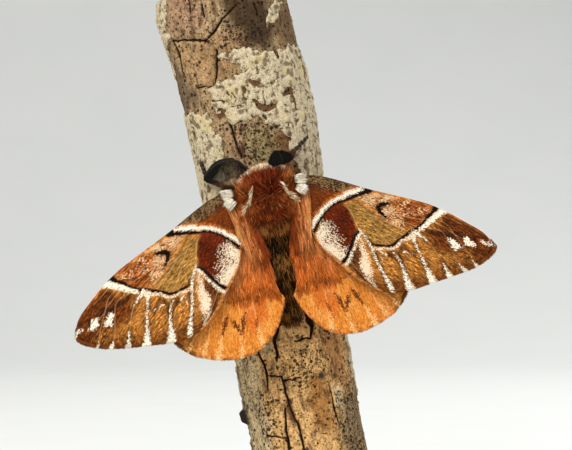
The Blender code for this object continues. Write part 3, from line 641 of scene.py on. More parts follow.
knot = np.exp(-(np.hypot(flat[:, 0] - KNOT[0] * ARC, flat[:, 1] - KNOT[1]) / 0.52) ** 4)
knob_dark = soft(np.hypot((flat[:, 0] - KNOB[0] * ARC) * 1.3, flat[:, 1] - KNOB[1]) - 1.15, 0.25)
recess = soft(to_area(flat, on_bark(RECESS)), 0.2)
# Below about 22 mm the front is painted lighter: partly the bark's own tan, partly painted light that offsets the
# moth's shadow there.
tone = paint(plain(len(height), 174, 148, 110), soft(height - 22, 4) * (1 - back), rgb(224, 178, 116))
tone = paint(tone, 0.8 * back, rgb(148, 120, 86))
for area, edge, colour in STAINS_AND_PAINTED_LIGHT:
    tone = paint(tone, 0.9 * soft(to_area(flat + 3 * wander, on_bark(area)), edge), rgb(*colour))
tone = paint(tone, 0.85 * holes, rgb(92, 58, 32))

relief = (0.16 * layered_noise(streaked, 2.2, 4, 61) + 0.05 * layered_noise(round_about, 0.45, 2, 63)
          + 0.10 * np.clip(between_plates, 0, 0.8) - 0.45 * crack - 0.22 * fine_crack - 0.3 * recess
          + crust * (0.16 + 0.17 * wrinkle + 0.05 * layered_noise(round_about, 0.3, 2, 43))
          + 0.95 * knob - 0.3 * knot)
radius = bark_radius(a, height) + flank(a, height) + relief - 0.15
side_rings = np.stack([radius * np.sin(a), -radius * np.cos(a), height], -1).reshape(BARK_ROWS, BARK_COLUMNS, 3)

# %% sawn ends, and the whole branch as one skin
CUT_RINGS = 7
shrink = np.linspace(0.06, 0.985, CUT_RINGS)[:, None, None]


def sawn_end(ring, level):
    """Rings across a cut: the rim drawn in towards the middle, level with the saw's fine marks."""
    middle = ring.mean(0)
    end = middle + (ring - middle) * shrink
    end[..., 2] = level + 0.03 * np.sin(end[..., 0] * 11.0 + end[..., 1] * 2.0)
    return end


low_end, top_end = sawn_end(side_rings[0], 0.03), sawn_end(side_rings[-1], BRANCH_LENGTH - 0.03)
branch_rings = np.concatenate([low_end, side_rings, top_end[::-1]])
points, faces = closed_rings(branch_rings)


def with_ends(side_values, end_value=0.0):
    """Values of the bark, with one value on all points of the two sawn ends."""
    cut = np.full(CUT_RINGS * BARK_COLUMNS, end_value)
    return np.concatenate([cut, side_values, cut, [end_value, end_value]])


across = np.hypot(points[:, 0], points[:, 1])
branch_uv = np.c_[with_ends(angle * ARC), with_ends(height)]

# %% [markdown]
# ## Bark and lichen
# The bark material layers its parts as nature does: plates, then weathering streaks, cracks darkened by painted
# shade, black specks and last the lichen, with painted shade at its rim and in its hollows. Fine noise breaks the
# edge of each layer, finer than the mesh could hold.

# %% bark material
bark, tree, shader = new_material("lichened_bark", 0.88)
shader.inputs["Specular IOR Level"].default_value = 0.08
here = object_place(tree)
leaning = node(tree, "ShaderNodeMapping", {"Vector": here, "Rotation": (0, math.radians(BRANCH_LEAN), 0)}).outputs[0]
streaks_at = scaled(tree, leaning, (1.0, 1.0, 0.28))
streak = noise(tree, streaks_at, 1300.0, 5.0, rough=0.7)
mottle = noise(tree, leaning, 1100.0, 6.0, rough=0.7)
fine = noise(tree, leaning, 6000.0, 3.0, rough=0.65)
tone_in = stored(tree, "tone", "Color")
colour = blend(tree, spread(tree, streak, 0.52, 0.34, 0.0, 0.75), tone_in, rgb(92, 66, 44))
colour = blend(tree, spread(tree, mottle, 0.52, 0.68, 0.0, 0.75), colour, (1.55, 1.5, 1.42), "MULTIPLY")
colour = blend(tree, spread(tree, mottle, 0.48, 0.36, 0.0, 0.85), colour, rgb(70, 46, 28))
colour = blend(tree, spread(tree, fine, 0.46, 0.3, 0.0, 0.55), colour, rgb(70, 48, 32))
# Painted shade: the cracks are darkened to near black, mixed with fine dark mottle.
shade_by = calc(tree, "ADD", stored(tree, "crack"), calc(tree, "MULTIPLY", calc(tree, "SUBTRACT", fine, 0.5), 0.8))
colour = blend(tree, spread(tree, shade_by, 0.3, 0.7), colour, rgb(34, 22, 15))
few = calc(tree, "ADD", calc(tree, "MULTIPLY", stored(tree, "specks"), 0.62), 0.2)
dot_masks = []
for per_metre, most in ((2100.0, 1.0), (3900.0, 0.75)):
    dots = node(tree, "ShaderNodeTexVoronoi", {"Vector": leaning, "Scale": per_metre, "Randomness": 1.0})
    chance = node(tree, "ShaderNodeSeparateColor", {0: dots.outputs["Color"]}).outputs
    waver = calc(tree, "MULTIPLY", calc(tree, "SUBTRACT", chance["Blue"], 0.5), 0.3)
    dot_edge = calc(tree, "ADD", dots.outputs["Distance"], waver)
    chosen = calc(tree, "LESS_THAN", chance["Red"], calc(tree, "MULTIPLY", few, most))
    dot_masks.append(calc(tree, "MULTIPLY", spread(tree, dot_edge, 0.46, 0.30), chosen))
dot = calc(tree, "MAXIMUM", *dot_masks)
grain = node(tree, "ShaderNodeTexVoronoi", {"Vector": leaning, "Scale": 3600.0}).outputs["Distance"]
colour = blend(tree, spread(tree, grain, 0.35, 0.1, 0.0, 0.6), colour, (1.5, 1.46, 1.4), "MULTIPLY")
colour = blend(tree, spread(tree, grain, 0.5, 0.85, 0.0, 0.55), colour, rgb(84, 56, 34))
colour = blend(tree, calc(tree, "MULTIPLY", dot, 0.9), colour, rgb(30, 22, 16))
colour = blend(tree, stored(tree, "knob"), colour, rgb(58, 50, 46))
frayed = calc(tree, "MULTIPLY", calc(tree, "SUBTRACT", mottle, 0.5), 0.7)
lichen_edge = calc(tree, "ADD", stored(tree, "crust"), frayed)
lichen_mask = spread(tree, lichen_edge, 0.36, 0.48)
# Painted shadow: a dark brown rim on the bark where the lichen crust stands up from it.
colour = blend(tree, spread(tree, lichen_edge, 0.05, 0.34, 0.0, 0.6), colour, rgb(48, 32, 20))
lichen = blend(tree, spread(tree, fine, 0.32, 0.56), rgb(146, 127, 95), rgb(211, 196, 164))
lichen = blend(tree, spread(tree, mottle, 0.47, 0.37, 0.0, 0.9), lichen, rgb(84, 60, 36))
lichen = blend(tree, spread(tree, noise(tree, leaning, 380.0, 4.0), 0.54, 0.7, 0.0, 0.6), lichen, rgb(208, 188, 132))
# Painted shade in the hollows between the lichen's ruffles.
lichen = blend(tree, spread(tree, stored(tree, "hollow_shade"), 0.5, 1.0, 0.0, 0.75), lichen, rgb(92, 68, 42))
colour = blend(tree, lichen_mask, colour, lichen)
from_middle = calc(tree, "ADD", stored(tree, "across"), calc(tree, "MULTIPLY", mottle, 0.5))
rings = calc(tree, "SINE", calc(tree, "MULTIPLY", from_middle, 9.0))
end_grain = node(tree, "ShaderNodeGroup", {"Vector": leaning, "Scale": 160.0}, node_tree=wood_grain)
end_grain.inputs["Light"].default_value = (*rgb(198, 164, 118), 1)
end_grain.inputs["Dark"].default_value = (*rgb(172, 136, 92), 1)
end_wood = blend(tree, spread(tree, rings, -0.6, 0.9), end_grain.outputs["Color"], rgb(160, 122, 80))
end_wood = blend(tree, spread(tree, stored(tree, "across"), 6.5, 7.0), end_wood, rgb(84, 58, 38))
colour = blend(tree, stored(tree, "sawn"), colour, end_wood)
tree.links.new(colour, shader.inputs["Base Color"])
rough_height = calc(tree, "ADD", calc(tree, "MULTIPLY", mottle, 0.8), calc(tree, "MULTIPLY", fine, 0.5))
bump(tree, shader, rough_height, 0.8, 0.00022)

branch = make_mesh("lichened_branch", placed(points, BRANCH), faces, bark, values={
    "crack": with_ends(np.maximum(crack, 0.8 * fine_crack)), "crust": with_ends(crust),
    "hollow_shade": with_ends(1.3 * np.abs(1 - wrinkle)), "specks": with_ends(specks),
    "knob": with_ends(np.maximum(knob_dark, knot)), "sawn": with_ends(np.zeros(len(height)), 1.0), "across": across,
    "tone": np.stack([with_ends(tone[:, k], 0.3) for k in range(3)], -1)}, maps={"bark_uv": branch_uv})
dress(branch, "bark", "perch_branch")
print("relief of the bark", relief.min().round(2), "to", relief.max().round(2), "mm")

# %% [markdown]
# ## The wings as surfaces
# A wing is a thin sheet between four curves: front edge, inner edge, root and outer edge. A Coons patch fills
# them in: it adds the two ways of stretching a sheet between opposite curves, less the part counted twice. The
# spread wings lie like a low roof over the body, with the hindwing one layer lower.

# %% wing curves, right side, seen from above
THORAX = [(1.75, -0.5, 1.7, 1.7), (1.35, -0.35, 2.45, 2.4), (0.5, -0.05, 3.05, 3.0), (-0.5, 0, 3.3, 3.2),
          (-1.8, -0.1, 3.2, 3.0), (-3.1, -0.45, 2.8, 2.6), (-4.0, -0.85, 2.25, 2.15)]
ROOF_TOP, ROOF_SLOPE, ROOF_ROUND, WING_LAYER, COSTA_ROLL = 1.7, 0.32, 3.0, 1.2, 0.8
FORE_COSTA = [(5.5, 1.2), (8.3, 0.25), (12.9, -2.1), (16.6, -3.8), (20.1, -5.5), (22.5, -7.1), (24.6, -8.85)]
LEFT_TIP, RIGHT_TIP = [(26.2, -10.4), (27.0, -11.8)], [(26.6, -10.6), (27.6, -12.0)]
LEFT_EDGE, RIGHT_EDGE = [(27.15, -12.9), (26.3, -13.8), (24.1, -14.7)], [(27.95, -12.9), (27.1, -13.8), (24.6, -14.8)]
FORE_OUTER = [(21.5, -15.2), (18.5, -15.5), (15.6, -15.75), (13.5, -15.6), (12.0, -15.2)]
FORE_INNER = [(4.55, -5.7), (5.4, -7.95), (7.55, -10.9), (8.9, -12.6), (10.4, -14.1), (12.0, -15.2)]
FORE_ROOT_Y = (1.7, -1.9)
HIND_COSTA = [(6.5, -4.3), (10, -8.2), (13.2, -11.6), (15.5, -14.7)]
HIND_OUTER = [(15.5, -14.7), (15.1, -16.1), (13.2, -17.9), (11.6, -18.65), (9.75, -19.25), (7.8, -19.5),
              (6.1, -19.3), (4.6, -18.8), (3.4, -17.9), (2.3, -16.7), (1.4, -15.2), (0.6, -13.2)]
HIND_INNER = [(2.75, -6), (2.3, -8.6), (1.45, -11.4), (0.6, -13.2)]
HIND_ROOT_Y = (-2.1, -3.5)


def roof(x):
    """Height of the roof that the wings make at x: a slope with a rounded ridge."""
    return ROOF_TOP - ROOF_SLOPE * (np.hypot(x, ROOF_ROUND) - ROOF_ROUND)


def coons(costa, inner, root, outer):
    """Rows from root to outer edge, columns from front to back: both ruled sheets, less the corners' blend."""
    u = np.linspace(0, 1, len(costa))[:, None, None]
    v = np.linspace(0, 1, len(root))[None, :, None]
    sides = (1 - v) * costa[:, None] + v * inner[:, None] + (1 - u) * root[None] + u * outer[None]
    corners = ((1 - u) * (1 - v) * costa[0] + (1 - u) * v * inner[0]
               + u * (1 - v) * costa[-1] + u * v * inner[-1])
    return sides - corners


def wing_plan(costa, inner, outer, root_y, rows, columns, fringe):
    """The wing seen from above. Its last row stops short of the outer edge by the fringe's length."""
    y = np.linspace(*root_y, columns)
    widths = np.array(THORAX)[::-1]
    root = np.c_[np.interp(y, widths[:, 0], widths[:, 2]) - 0.7, y]
    plan = coons(through([root[0], *costa], rows), through([root[-1], *inner], rows), root, through(outer, columns))
    edge = plan[-1] - plan[-2]
    return plan - fringe * unit(edge)[None] * (np.linspace(0, 1, rows)[:, None, None] ** 6)


# %% [markdown]
# ## The pattern, drawn as lines and areas
# A moth's pattern is its own map, the same on both sides: a white line with a black edge near the root, a wavy
# black and white line farther out, white arrowheads at the ends of the veins and two white windows at the tip.
# Each is a short list of places on the right wing, in millimetres, with a width. The left wing mirrors them.

# %% forewing features: (x, y, width)
WHITE_LINES = [
    [(12.0, -1.95, .4), (11.1, -2.0, .56), (9.9, -2.2, .62), (8.5, -2.5, .46), (7.3, -2.9, .42), (6.5, -3.4, .42),
     (5.7, -4.1, .46), (5.0, -4.75, .48), (4.5, -5.35, .44), (4.1, -5.8, .36)],
    [(22.9, -6.6, 1.0), (22.0, -6.7, .9), (21.0, -7.2, .64), (19.8, -7.8, .56), (18.8, -8.4, .4), (18.3, -8.5, .24)],
    [(17.2, -8.9, .7), (16.7, -9.2, .36), (15.9, -9.3, .24), (15.2, -9.7, .2), (14.7, -10.1, .2), (14.0, -10.1, .18),
     (13.0, -9.8, .18), (12.2, -9.7, .18), (11.6, -9.7, .18)],
    [(10.3, -7.5, .16), (9.6, -8.6, .18), (8.9, -9.7, .28), (8.3, -10.5, .32), (7.7, -10.9, .28)],
    [(10.5, -6.8, .04), (11.4, -8.6, .14), (11.7, -10.1, .18), (12.0, -11.8, .16), (12.6, -13.5, .26),
     (13.0, -15.0, .6)],
    [(14.05, -10.3, -.02), (14.6, -11.2, .04), (14.9, -12.0, .1), (15.1, -13.1, .2), (15.2, -14.1, .6),
     (15.4, -15.5, 1.0)],
    [(17.2, -9.0, .8), (17.3, -9.9, .2), (17.5, -10.9, .18), (17.9, -12.2, .2), (18.1, -13.5, .34),
     (18.3, -14.2, .62), (18.5, -15.3, 1.0)],
    [(17.5, -8.6, .5), (18.3, -9.3, .3), (18.9, -10.0, .02), (19.2, -10.4, -.15)],
    [(20.3, -13.0, -.1), (20.6, -14.1, .24), (20.9, -15.3, .75)],
    [(22.4, -13.8, -.1), (22.7, -14.3, .16), (23.0, -14.9, .5)],
    [(24.3, -13.7, -.1), (24.5, -14.1, .08), (24.7, -14.6, .28)],
    [(26.1, -11.7, .24), (26.8, -12.1, .4), (27.4, -12.4, .36)]]
WHITE_AREAS = [[(21.8, -10.4), (22.3, -10.5), (22.8, -11.1), (23.5, -11.9), (22.4, -12.1), (22.0, -11.5)],
               [(23.8, -10.8), (24.5, -10.8), (25.0, -11.5), (25.4, -12.2), (24.7, -12.1), (23.9, -11.8)]]
BLACK_LINES = [
    [(13.0, -2.3, .7), (12.2, -2.3, .8), (11.1, -2.5, .62), (10.1, -2.7, .56), (9.3, -2.9, .44), (8.2, -2.9, .46),
     (7.3, -3.3, .46), (6.6, -3.8, .46), (6.1, -4.3, .44), (5.45, -5.0, .44), (4.9, -5.65, .42), (4.45, -6.2, .36)],
    [(21.6, -6.1, .9), (21.1, -6.3, .8), (20.6, -6.7, .44), (19.8, -7.1, .36), (18.9, -7.9, .32), (18.1, -8.3, .4),
     (17.0, -8.6, .5), (16.3, -8.9, .44), (15.0, -9.4, .4), (14.4, -9.7, .38), (13.7, -9.7, .38), (12.7, -9.4, .34),
     (11.9, -9.1, .3), (11.5, -8.4, .24), (10.8, -7.6, .1)],
    [(10.4, -7.1, .38), (9.9, -7.5, .38), (9.3, -8.2, .42), (8.7, -9.2, .46), (8.2, -9.9, .5), (7.6, -10.4, .52),
     (7.1, -10.6, .28)],
    [(14.9, -4.4, .34), (14.1, -4.4, .56), (13.6, -4.6, .6), (13.7, -5.1, .48), (14.0, -5.7, .36),
     (14.3, -6.0, .22)]]
SMUDGES = [
    [(18.9, -8.6, .2), (20.0, -9.3, .6), (21.4, -9.8, .8), (22.6, -9.9, .7), (24.0, -10.6, .5), (25.2, -11.2, .2)],
    [(12.1, -10.1, 0.5), (12.3, -10.8, 0.45), (12.3, -11.4, 0.3), (12.4, -12.1, 0.05)],
    [(13.0, -10.1, 0.1), (13.5, -10.4, 0.3), (13.9, -10.8, 0.4), (14.2, -11.5, 0.4), (14.4, -12.1, 0.3),
     (14.8, -12.7, 0.02)],
    [(15.8, -10.0, 0.3), (15.2, -10.4, 0.5), (15.0, -11.0, 0.45), (15.0, -11.7, 0.35), (15.0, -12.5, 0.02)],
    [(15.7, -10.0, 0.4), (16.3, -10.5, 0.55), (16.7, -11.1, 0.45), (17.0, -11.7, 0.3), (17.2, -12.0, 0.02)]]
PALE_ARCS = [[(12.6, -10.1, 0.02), (12.9, -10.4, 0.16), (13.3, -10.7, 0.14), (13.6, -11.0, 0.02)],
             [(12.6, -10.5, 0.02), (12.6, -11.1, 0.14), (12.5, -11.7, 0.02)],
             [(15.4, -10.9, 0.1), (15.8, -10.8, 0.14), (16.3, -11.1, 0.1), (16.9, -11.4, 0.1)]]
FORE_VEINS = [
    [(12, -2.4, -.2), (14, -3.3, .06), (19, -5.6, .06), (24, -9, .06)],
    [(9, -2.2, -.2), (11, -3.1, .06), (15, -4.9, .08), (20, -7.6, .06), (25, -12.2, .06)],
    [(14, -5.2, .06), (18, -7, .08), (21.6, -8.2, .08), (22.9, -10.4, .08), (23.8, -12.2, .08), (24.7, -14.6, .08)],
    [(15, -6.2, .06), (18, -8, .08), (21, -9.2, .08), (21.7, -11, .08), (22.2, -13.2, .08), (23, -14.9, .08)],
    [(12, -5, .06), (15.5, -7.5, .08), (18.3, -9.4, .1), (19.2, -10.4, .1), (19.9, -12, .08), (20.9, -15.3, .08)],
    [(12, -5, .06), (15, -8, .08), (17.1, -9.6, .08), (17.9, -12.2, .1), (18.5, -15.3, .1)],
    [(8.6, -2.9, -.2), (11, -4.5, .08), (13, -8, .08), (14.4, -10.2, .08), (15.1, -13.1, .1), (15.4, -15.5, .1)],
    [(8, -3, -.2), (9.7, -3.9, .1), (10.5, -6.8, .1), (11.7, -10.1, .1), (12.6, -13.5, .1), (13, -15, .1)],
    [(5.6, -4.4, -.2), (6.6, -6.2, .06), (8, -9.5, .08), (10.3, -13.6, .04)]]

# %% forewing areas
BASE_AREA = [(2, 2.5), (6, 1.6), (12.6, -1.7), (11.1, -2.2), (8.5, -2.6), (6.6, -3.6), (5.6, -4.7), (4.2, -6.4),
             (1, -5)]
BASE_COSTA = [(4.6, 1.8), (7.8, .6), (10.5, -.9), (12.4, -1.8), (10.0, -1.9), (7.7, -1.2), (5.2, -.1)]
RED_PATCH = [(8.2, -2.8), (9.3, -2.9), (9.7, -4.5), (10.2, -6.2), (10.3, -7.1), (9.3, -8.2), (8.2, -9.9),
             (7.1, -10.4), (5.8, -9.0), (4.5, -6.5), (5.0, -5.8), (5.6, -5.1), (6.5, -3.7)]
OLIVE = [(9.8, -3.0), (10.9, -3.2), (12.4, -4.2), (13.4, -5.5), (14.4, -6.5), (15.5, -7.6), (16.2, -8.7),
         (14.8, -9.5), (13.7, -9.7), (12.1, -9.1), (11.4, -8.5), (10.5, -6.8), (10.1, -5.4), (9.7, -3.9)]
COSTAL_WHITE = [(11.0, -2.7), (12.9, -2.6), (15.2, -3.3), (17.1, -4.2), (15.5, -4.4), (15.7, -5.8), (16.8, -7.4),
                (16.2, -8.3), (15.5, -7.6), (14.4, -6.5), (13.4, -5.5), (12.4, -4.2)]
COSTAL_RUST = [(16.7, -4.0), (19.1, -4.8), (20.9, -5.7), (19.9, -7.1), (18.1, -8.3), (16.9, -8.1), (15.8, -6.2),
               (15.5, -4.6)]
PALE_PATCH = [(10.4, -7.3, .1), (10.5, -8.8, .5), (10.3, -10.1, .7), (10.3, -11.4, .9), (10.4, -12.6, .9),
              (10.7, -13.9, .6)]
APEX_AREA = [(22.5, -7), (28, -11), (28, -14), (25.5, -14.4), (24.2, -12.8), (21.5, -12.6), (19.5, -11.4),
             (18.8, -9), (20.5, -8.3)]

# %% hindwing features
HIND_DARK = [
    [(.9, -12.8, .24), (1.8, -12.4, .2), (2.7, -11.8, .18), (3.6, -11.6, .18), (4.7, -12.2, .2), (6.1, -12.5, .2),
     (7.7, -12.2, .18), (8.7, -11.7, .16)], [(5.8, -14.0, .05), (6.2, -15.0, .55), (6.6, -16.4, .1)],
    [(7.5, -14.4, .1), (7.2, -15.4, .55), (6.85, -16.5, .1)], [(7.9, -13.9, .1), (8.5, -14.9, .6), (9.1, -16.1, .1)],
    [(4.3, -14.4, -.05), (4.5, -15.2, .2), (4.7, -16.1, -.05)]]
HIND_PALE = [
    [(4.6, -16.2, -.15), (4.5, -17.4, .05), (4.2, -18.9, .26)],
    [(6.8, -17.0, -.15), (7.0, -18.2, .1), (7.3, -19.5, .4)],
    [(9.3, -16.5, -.1), (9.7, -17.6, .16), (10.2, -19.1, .6)],
    [(11.0, -16.5, -.15), (11.6, -17.6, .08), (12.1, -18.5, .3)], [(13.1, -16.6, -.1), (13.9, -17.6, .14)]]
HIND_VEINS = [
    [(4, -6, .08), (4.4, -9, .1), (4.6, -13, .1), (4.2, -18.5, .1)],
    [(5, -6, .08), (6, -10, .1), (6.6, -15, .1), (7.3, -19.4, .1)],
    [(5.4, -6, .08), (7.4, -10, .1), (9, -15.8, .1), (10.2, -19.1, .1)],
    [(6, -6, .08), (8.6, -10.5, .1), (11.3, -17.2, .1), (12.1, -18.5, .1)],
    [(6.4, -5.5, .08), (9.8, -11, .1), (13.1, -16.6, .1), (13.9, -17.6, .1)],
    [(3, -6, .08), (2.8, -10, .1), (2.7, -15.2, .1), (2.4, -16.7, .1)]]
HIND_CORNER = [(15.8, -14.0), (15.4, -16.4), (14.3, -17.6), (13.2, -17.8), (12.0, -15.6), (12.8, -13.6)]

# %% [markdown]
# ## Scales as a shader
# The colour of a wing is made of thousands of tiny overlapping scales, each of one plain colour. A Voronoi
# texture gives such cells, each with random numbers of its own. A cell is white, black or ground by comparing its
# number with the distance to each line, so every edge breaks along scales. Both wings share the group.

# %% wing scales group
wing_scales, g_in, g_out = new_group("wing_scales", [
    ("Place", "Vector"), ("Ground", "Color"), ("Light", "Color"), ("Dark", "Color"), ("Vein", "Color"),
    ("Light gap", "Float"), ("Dark gap", "Float"), ("Vein gap", "Float"), ("Speckle", "Float"), ("Ragged", "Float"),
    ("Contrast", "Float")], [("Color", "Color"), ("Height", "Float")])
tree = wing_scales
cell_place = scaled(tree, g_in["Place"], (6.0, 10.5, 1.0))
cells = node(tree, "ShaderNodeTexVoronoi", {"Vector": cell_place, "Scale": 1.0, "Randomness": 0.9},
             voronoi_dimensions="2D")
chance = node(tree, "ShaderNodeSeparateColor", {0: cells.outputs["Color"]}).outputs


def ragged(tree, gap, draw, amount):
    """A mask of a signed gap whose edge is moved by each cell's draw."""
    shifted = calc(tree, "ADD", gap, calc(tree, "MULTIPLY", calc(tree, "SUBTRACT", draw, 0.5), amount))
    return spread(tree, shifted, 0.05, -0.05)


along = scaled(tree, g_in["Place"], (0.8, 8.0, 1.0))
combed = noise(tree, along, 1.0, 3.0, rough=0.6)


def varied(tree, value, low, high, most):
    """A share that rises as value goes from low to high, up to most times the group's contrast."""
    return calc(tree, "MULTIPLY", spread(tree, value, low, high, 0.0, most), g_in["Contrast"])


tone = blend(tree, varied(tree, chance["Blue"], 0.0, 1.0, 0.55), g_in["Ground"], SOOT)
tone = blend(tree, varied(tree, combed, 0.5, 0.36, 0.7), tone, SOOT)
clumps_at = scaled(tree, g_in["Place"], (1.7, 4.2, 1.0))
clumps = noise(tree, clumps_at, 1.0, 2.0)
tone = blend(tree, varied(tree, clumps, 0.5, 0.36, 0.55), tone, SOOT)
tone = blend(tree, varied(tree, clumps, 0.5, 0.64, 0.8), tone, (1.5, 1.46, 1.4), "MULTIPLY")
bright = blend(tree, varied(tree, combed, 0.5, 0.64, 1.0), tone, (1.8, 1.72, 1.65), "MULTIPLY")
bright = blend(tree, varied(tree, chance["Red"], 0.5, 1.0, 0.9), bright, (1.7, 1.62, 1.55), "MULTIPLY")
veined = blend(tree, calc(tree, "MULTIPLY", spread(tree, g_in["Vein gap"], 0.06, -0.03), 0.38), bright, g_in["Vein"])
drawn = calc(tree, "ADD", calc(tree, "MULTIPLY", chance["Green"], 0.75), calc(tree, "MULTIPLY", combed, 0.25))
speck = spread(tree, calc(tree, "SUBTRACT", g_in["Speckle"], drawn), -0.06, 0.06)
speckled = blend(tree, speck, veined, g_in["Light"])
half_ragged = calc(tree, "MULTIPLY", g_in["Ragged"], 0.5)
darkened = blend(tree, ragged(tree, g_in["Dark gap"], chance["Blue"], half_ragged), speckled, g_in["Dark"])
dust = calc(tree, "MULTIPLY", calc(tree, "GREATER_THAN", chance["Blue"], 0.86), 0.6)
dusted = blend(tree, dust, g_in["Light"], bright)
lightened = blend(tree, ragged(tree, g_in["Light gap"], chance["Red"], g_in["Ragged"]), darkened, dusted)
tree.links.new(lightened, g_out.inputs["Color"])
tree.links.new(calc(tree, "SUBTRACT", chance["Green"], cells.outputs["Distance"]), g_out.inputs["Height"])


def wing_material(name, dark, vein, contrast, rag):
    """A dusty, scaled wing: the group's colour and height. Its shine is low, or it would veil the dark scales."""
    material, tree, shader = new_material(name, 0.8)
    shader.inputs["Specular IOR Level"].default_value = 0.05
    scales = node(tree, "ShaderNodeGroup", node_tree=wing_scales)
    tree.links.new(node(tree, "ShaderNodeUVMap", uv_map="wing_place").outputs[0], scales.inputs["Place"])
    for source, output in (("light_gap", "Fac"), ("dark_gap", "Fac"), ("vein_gap", "Fac"), ("speckle", "Fac"),
                           ("ground", "Color"), ("light", "Color")):
        tree.links.new(stored(tree, source, output), scales.inputs[source.replace("_", " ").capitalize()])
    for socket, tint in (("Dark", dark), ("Vein", vein)):
        scales.inputs[socket].default_value = (*tint, 1)
    scales.inputs["Ragged"].default_value = rag
    scales.inputs["Contrast"].default_value = contrast
    tree.links.new(scales.outputs["Color"], shader.inputs["Base Color"])
    bump(tree, shader, scales.outputs["Height"], 0.35, 0.00006)
    return material


fore_material = wing_material("forewing_scales", rgb(24, 12, 6), rgb(220, 176, 122), 1.0, 0.42)
hind_material = wing_material("hindwing_scales", rgb(96, 46, 14), rgb(240, 176, 108), 0.4, 0.9)


# %% ground colours
def fore_ground(plan):
    """(ground, light scales' colour, speckle) of the forewing: one area laid over the other, with wavering edges."""
    flat3 = np.c_[plan, np.zeros(len(plan))]
    waver = plan + 0.25 * noises(flat3, 1.1, 3, 71, 73)
    cloud = 0.8 * layered_noise(flat3 * [0.6, 1, 1], 0.9, 5, 75)
    olive, costal = soft(to_area(waver, OLIVE), 0.5), soft(to_area(waver, COSTAL_WHITE), 0.6)
    red, smudge = soft(to_area(waver, RED_PATCH), 0.25), soft(to_lines(waver, *SMUDGES), 0.28)
    base, base_costa = soft(to_area(waver, BASE_AREA), 0.25), soft(to_area(waver, BASE_COSTA), 0.5)
    rim = [(10.5, -14.6, 0), (13.5, -15.6, 0), (18.5, -15.5, 0), (24.5, -14.8, 0), (27.6, -12.6, 0)]
    outward = soft(to_line(plan, rim) - 1.6, 1.4)
    ground = paint(plain(len(plan), 188, 124, 54), 0.9 * outward, rgb(112, 62, 18))
    vein_side = to_lines(plan, *[[(x, y, 0) for x, y, _ in line] for line in WHITE_LINES[4:10]])
    ground = paint(ground, 0.7 * soft(vein_side - 0.35, 0.3), rgb(80, 38, 12))
    inner_corner = [(9.6, -8.2), (10.1, -9.4), (9.9, -11.5), (10.3, -13.6), (9.0, -12.7), (7.8, -11.0), (8.6, -10.2)]
    ground = paint(ground, 0.9 * soft(to_area(waver, inner_corner), 0.25), rgb(88, 42, 14))
    ground = paint(ground, soft(to_area(waver, APEX_AREA), 0.8), rgb(98, 48, 12))
    ground = paint(ground, olive, rgb(168, 124, 60))
    ground = paint(ground, costal, rgb(168, 100, 48))
    ground = paint(ground, soft(to_area(waver, COSTAL_RUST), 0.6), rgb(142, 72, 24))
    ground = paint(ground, red, rgb(92, 30, 6))
    ground = paint(ground, base, rgb(108, 50, 14))
    ground = paint(ground, base_costa, rgb(56, 36, 20))
    ground = paint(ground, 0.85 * smudge, rgb(50, 24, 8))
    white_band = to_line(plan, WHITE_LINES[0])
    ground = paint(ground, 0.8 * base * soft(white_band - 0.35, 0.3), rgb(196, 106, 34))
    front_edge = plan[:, 1] - np.interp(plan[:, 0], *np.array([(2, 2), *FORE_COSTA, *RIGHT_TIP]).T)
    ground = paint(ground, 0.5 * soft(-front_edge - 0.25, 0.25) * soft(12.5 - plan[:, 0], 1.0), rgb(190, 104, 36))
    ground = paint(ground, 0.9 * soft(-front_edge - 0.22, 0.2) * soft(plan[:, 0] - 12.0, 1.0), rgb(30, 18, 10))
    ground = ground * (1 + 0.4 * np.clip(cloud, -1, 1))[:, None]
    margin = to_line(plan, [(4.5, -5.7, 0), (5.4, -7.95, 0), (7.5, -10.9, 0)])
    speckle = np.maximum(0.03 + 0.08 * cloud, 0)
    speckle = np.maximum(speckle, red * np.clip(0.92 - (margin + 0.7 * cloud) / 3.6, 0, 0.84))
    patch = to_line(waver, PALE_PATCH)
    speckle = np.maximum(speckle, 0.72 * soft(patch - 0.05, 0.5) + 0.3 * soft(patch - 0.4, 0.5) * cloud)
    speckle = np.maximum(speckle, 0.55 * costal + 0.35 * costal * cloud)
    speckle = np.maximum(speckle, 0.25 * soft(to_area(waver, COSTAL_RUST), 0.6) * np.clip(0.4 + 1.5 * cloud, 0, 1.8))
    speckle = np.maximum(speckle, 0.38 * base_costa)
    speckle = np.maximum(speckle, 0.5 * soft(to_lines(plan, *WHITE_LINES[1:3]) - 0.15, 0.3))
    speckle = np.maximum(speckle * (1 - 0.9 * smudge), 0.75 * soft(to_lines(plan, *PALE_ARCS), 0.12))
    light = plain(len(plan), 204, 152, 90)
    light = paint(light, costal, rgb(216, 184, 142))
    light = paint(light, soft(to_area(waver, COSTAL_RUST), 0.35), rgb(220, 184, 140))
    light = paint(light, np.maximum(red, soft(patch - 0.4, 0.4)), rgb(230, 210, 180))
    light = paint(light, base, rgb(146, 116, 76))
    crisp = np.minimum(to_lines(plan, *WHITE_LINES), np.min([to_area(plan, area) for area in WHITE_AREAS], axis=0))
    light = paint(light, soft(np.minimum(crisp - 0.15, to_lines(plan, *PALE_ARCS) - 0.2), 0.12), rgb(240, 230, 208))
    light = paint(light, 0.5 * soft(to_line(plan, WHITE_LINES[2]) - 0.1, 0.15), rgb(226, 184, 140))
    return ground, light, speckle


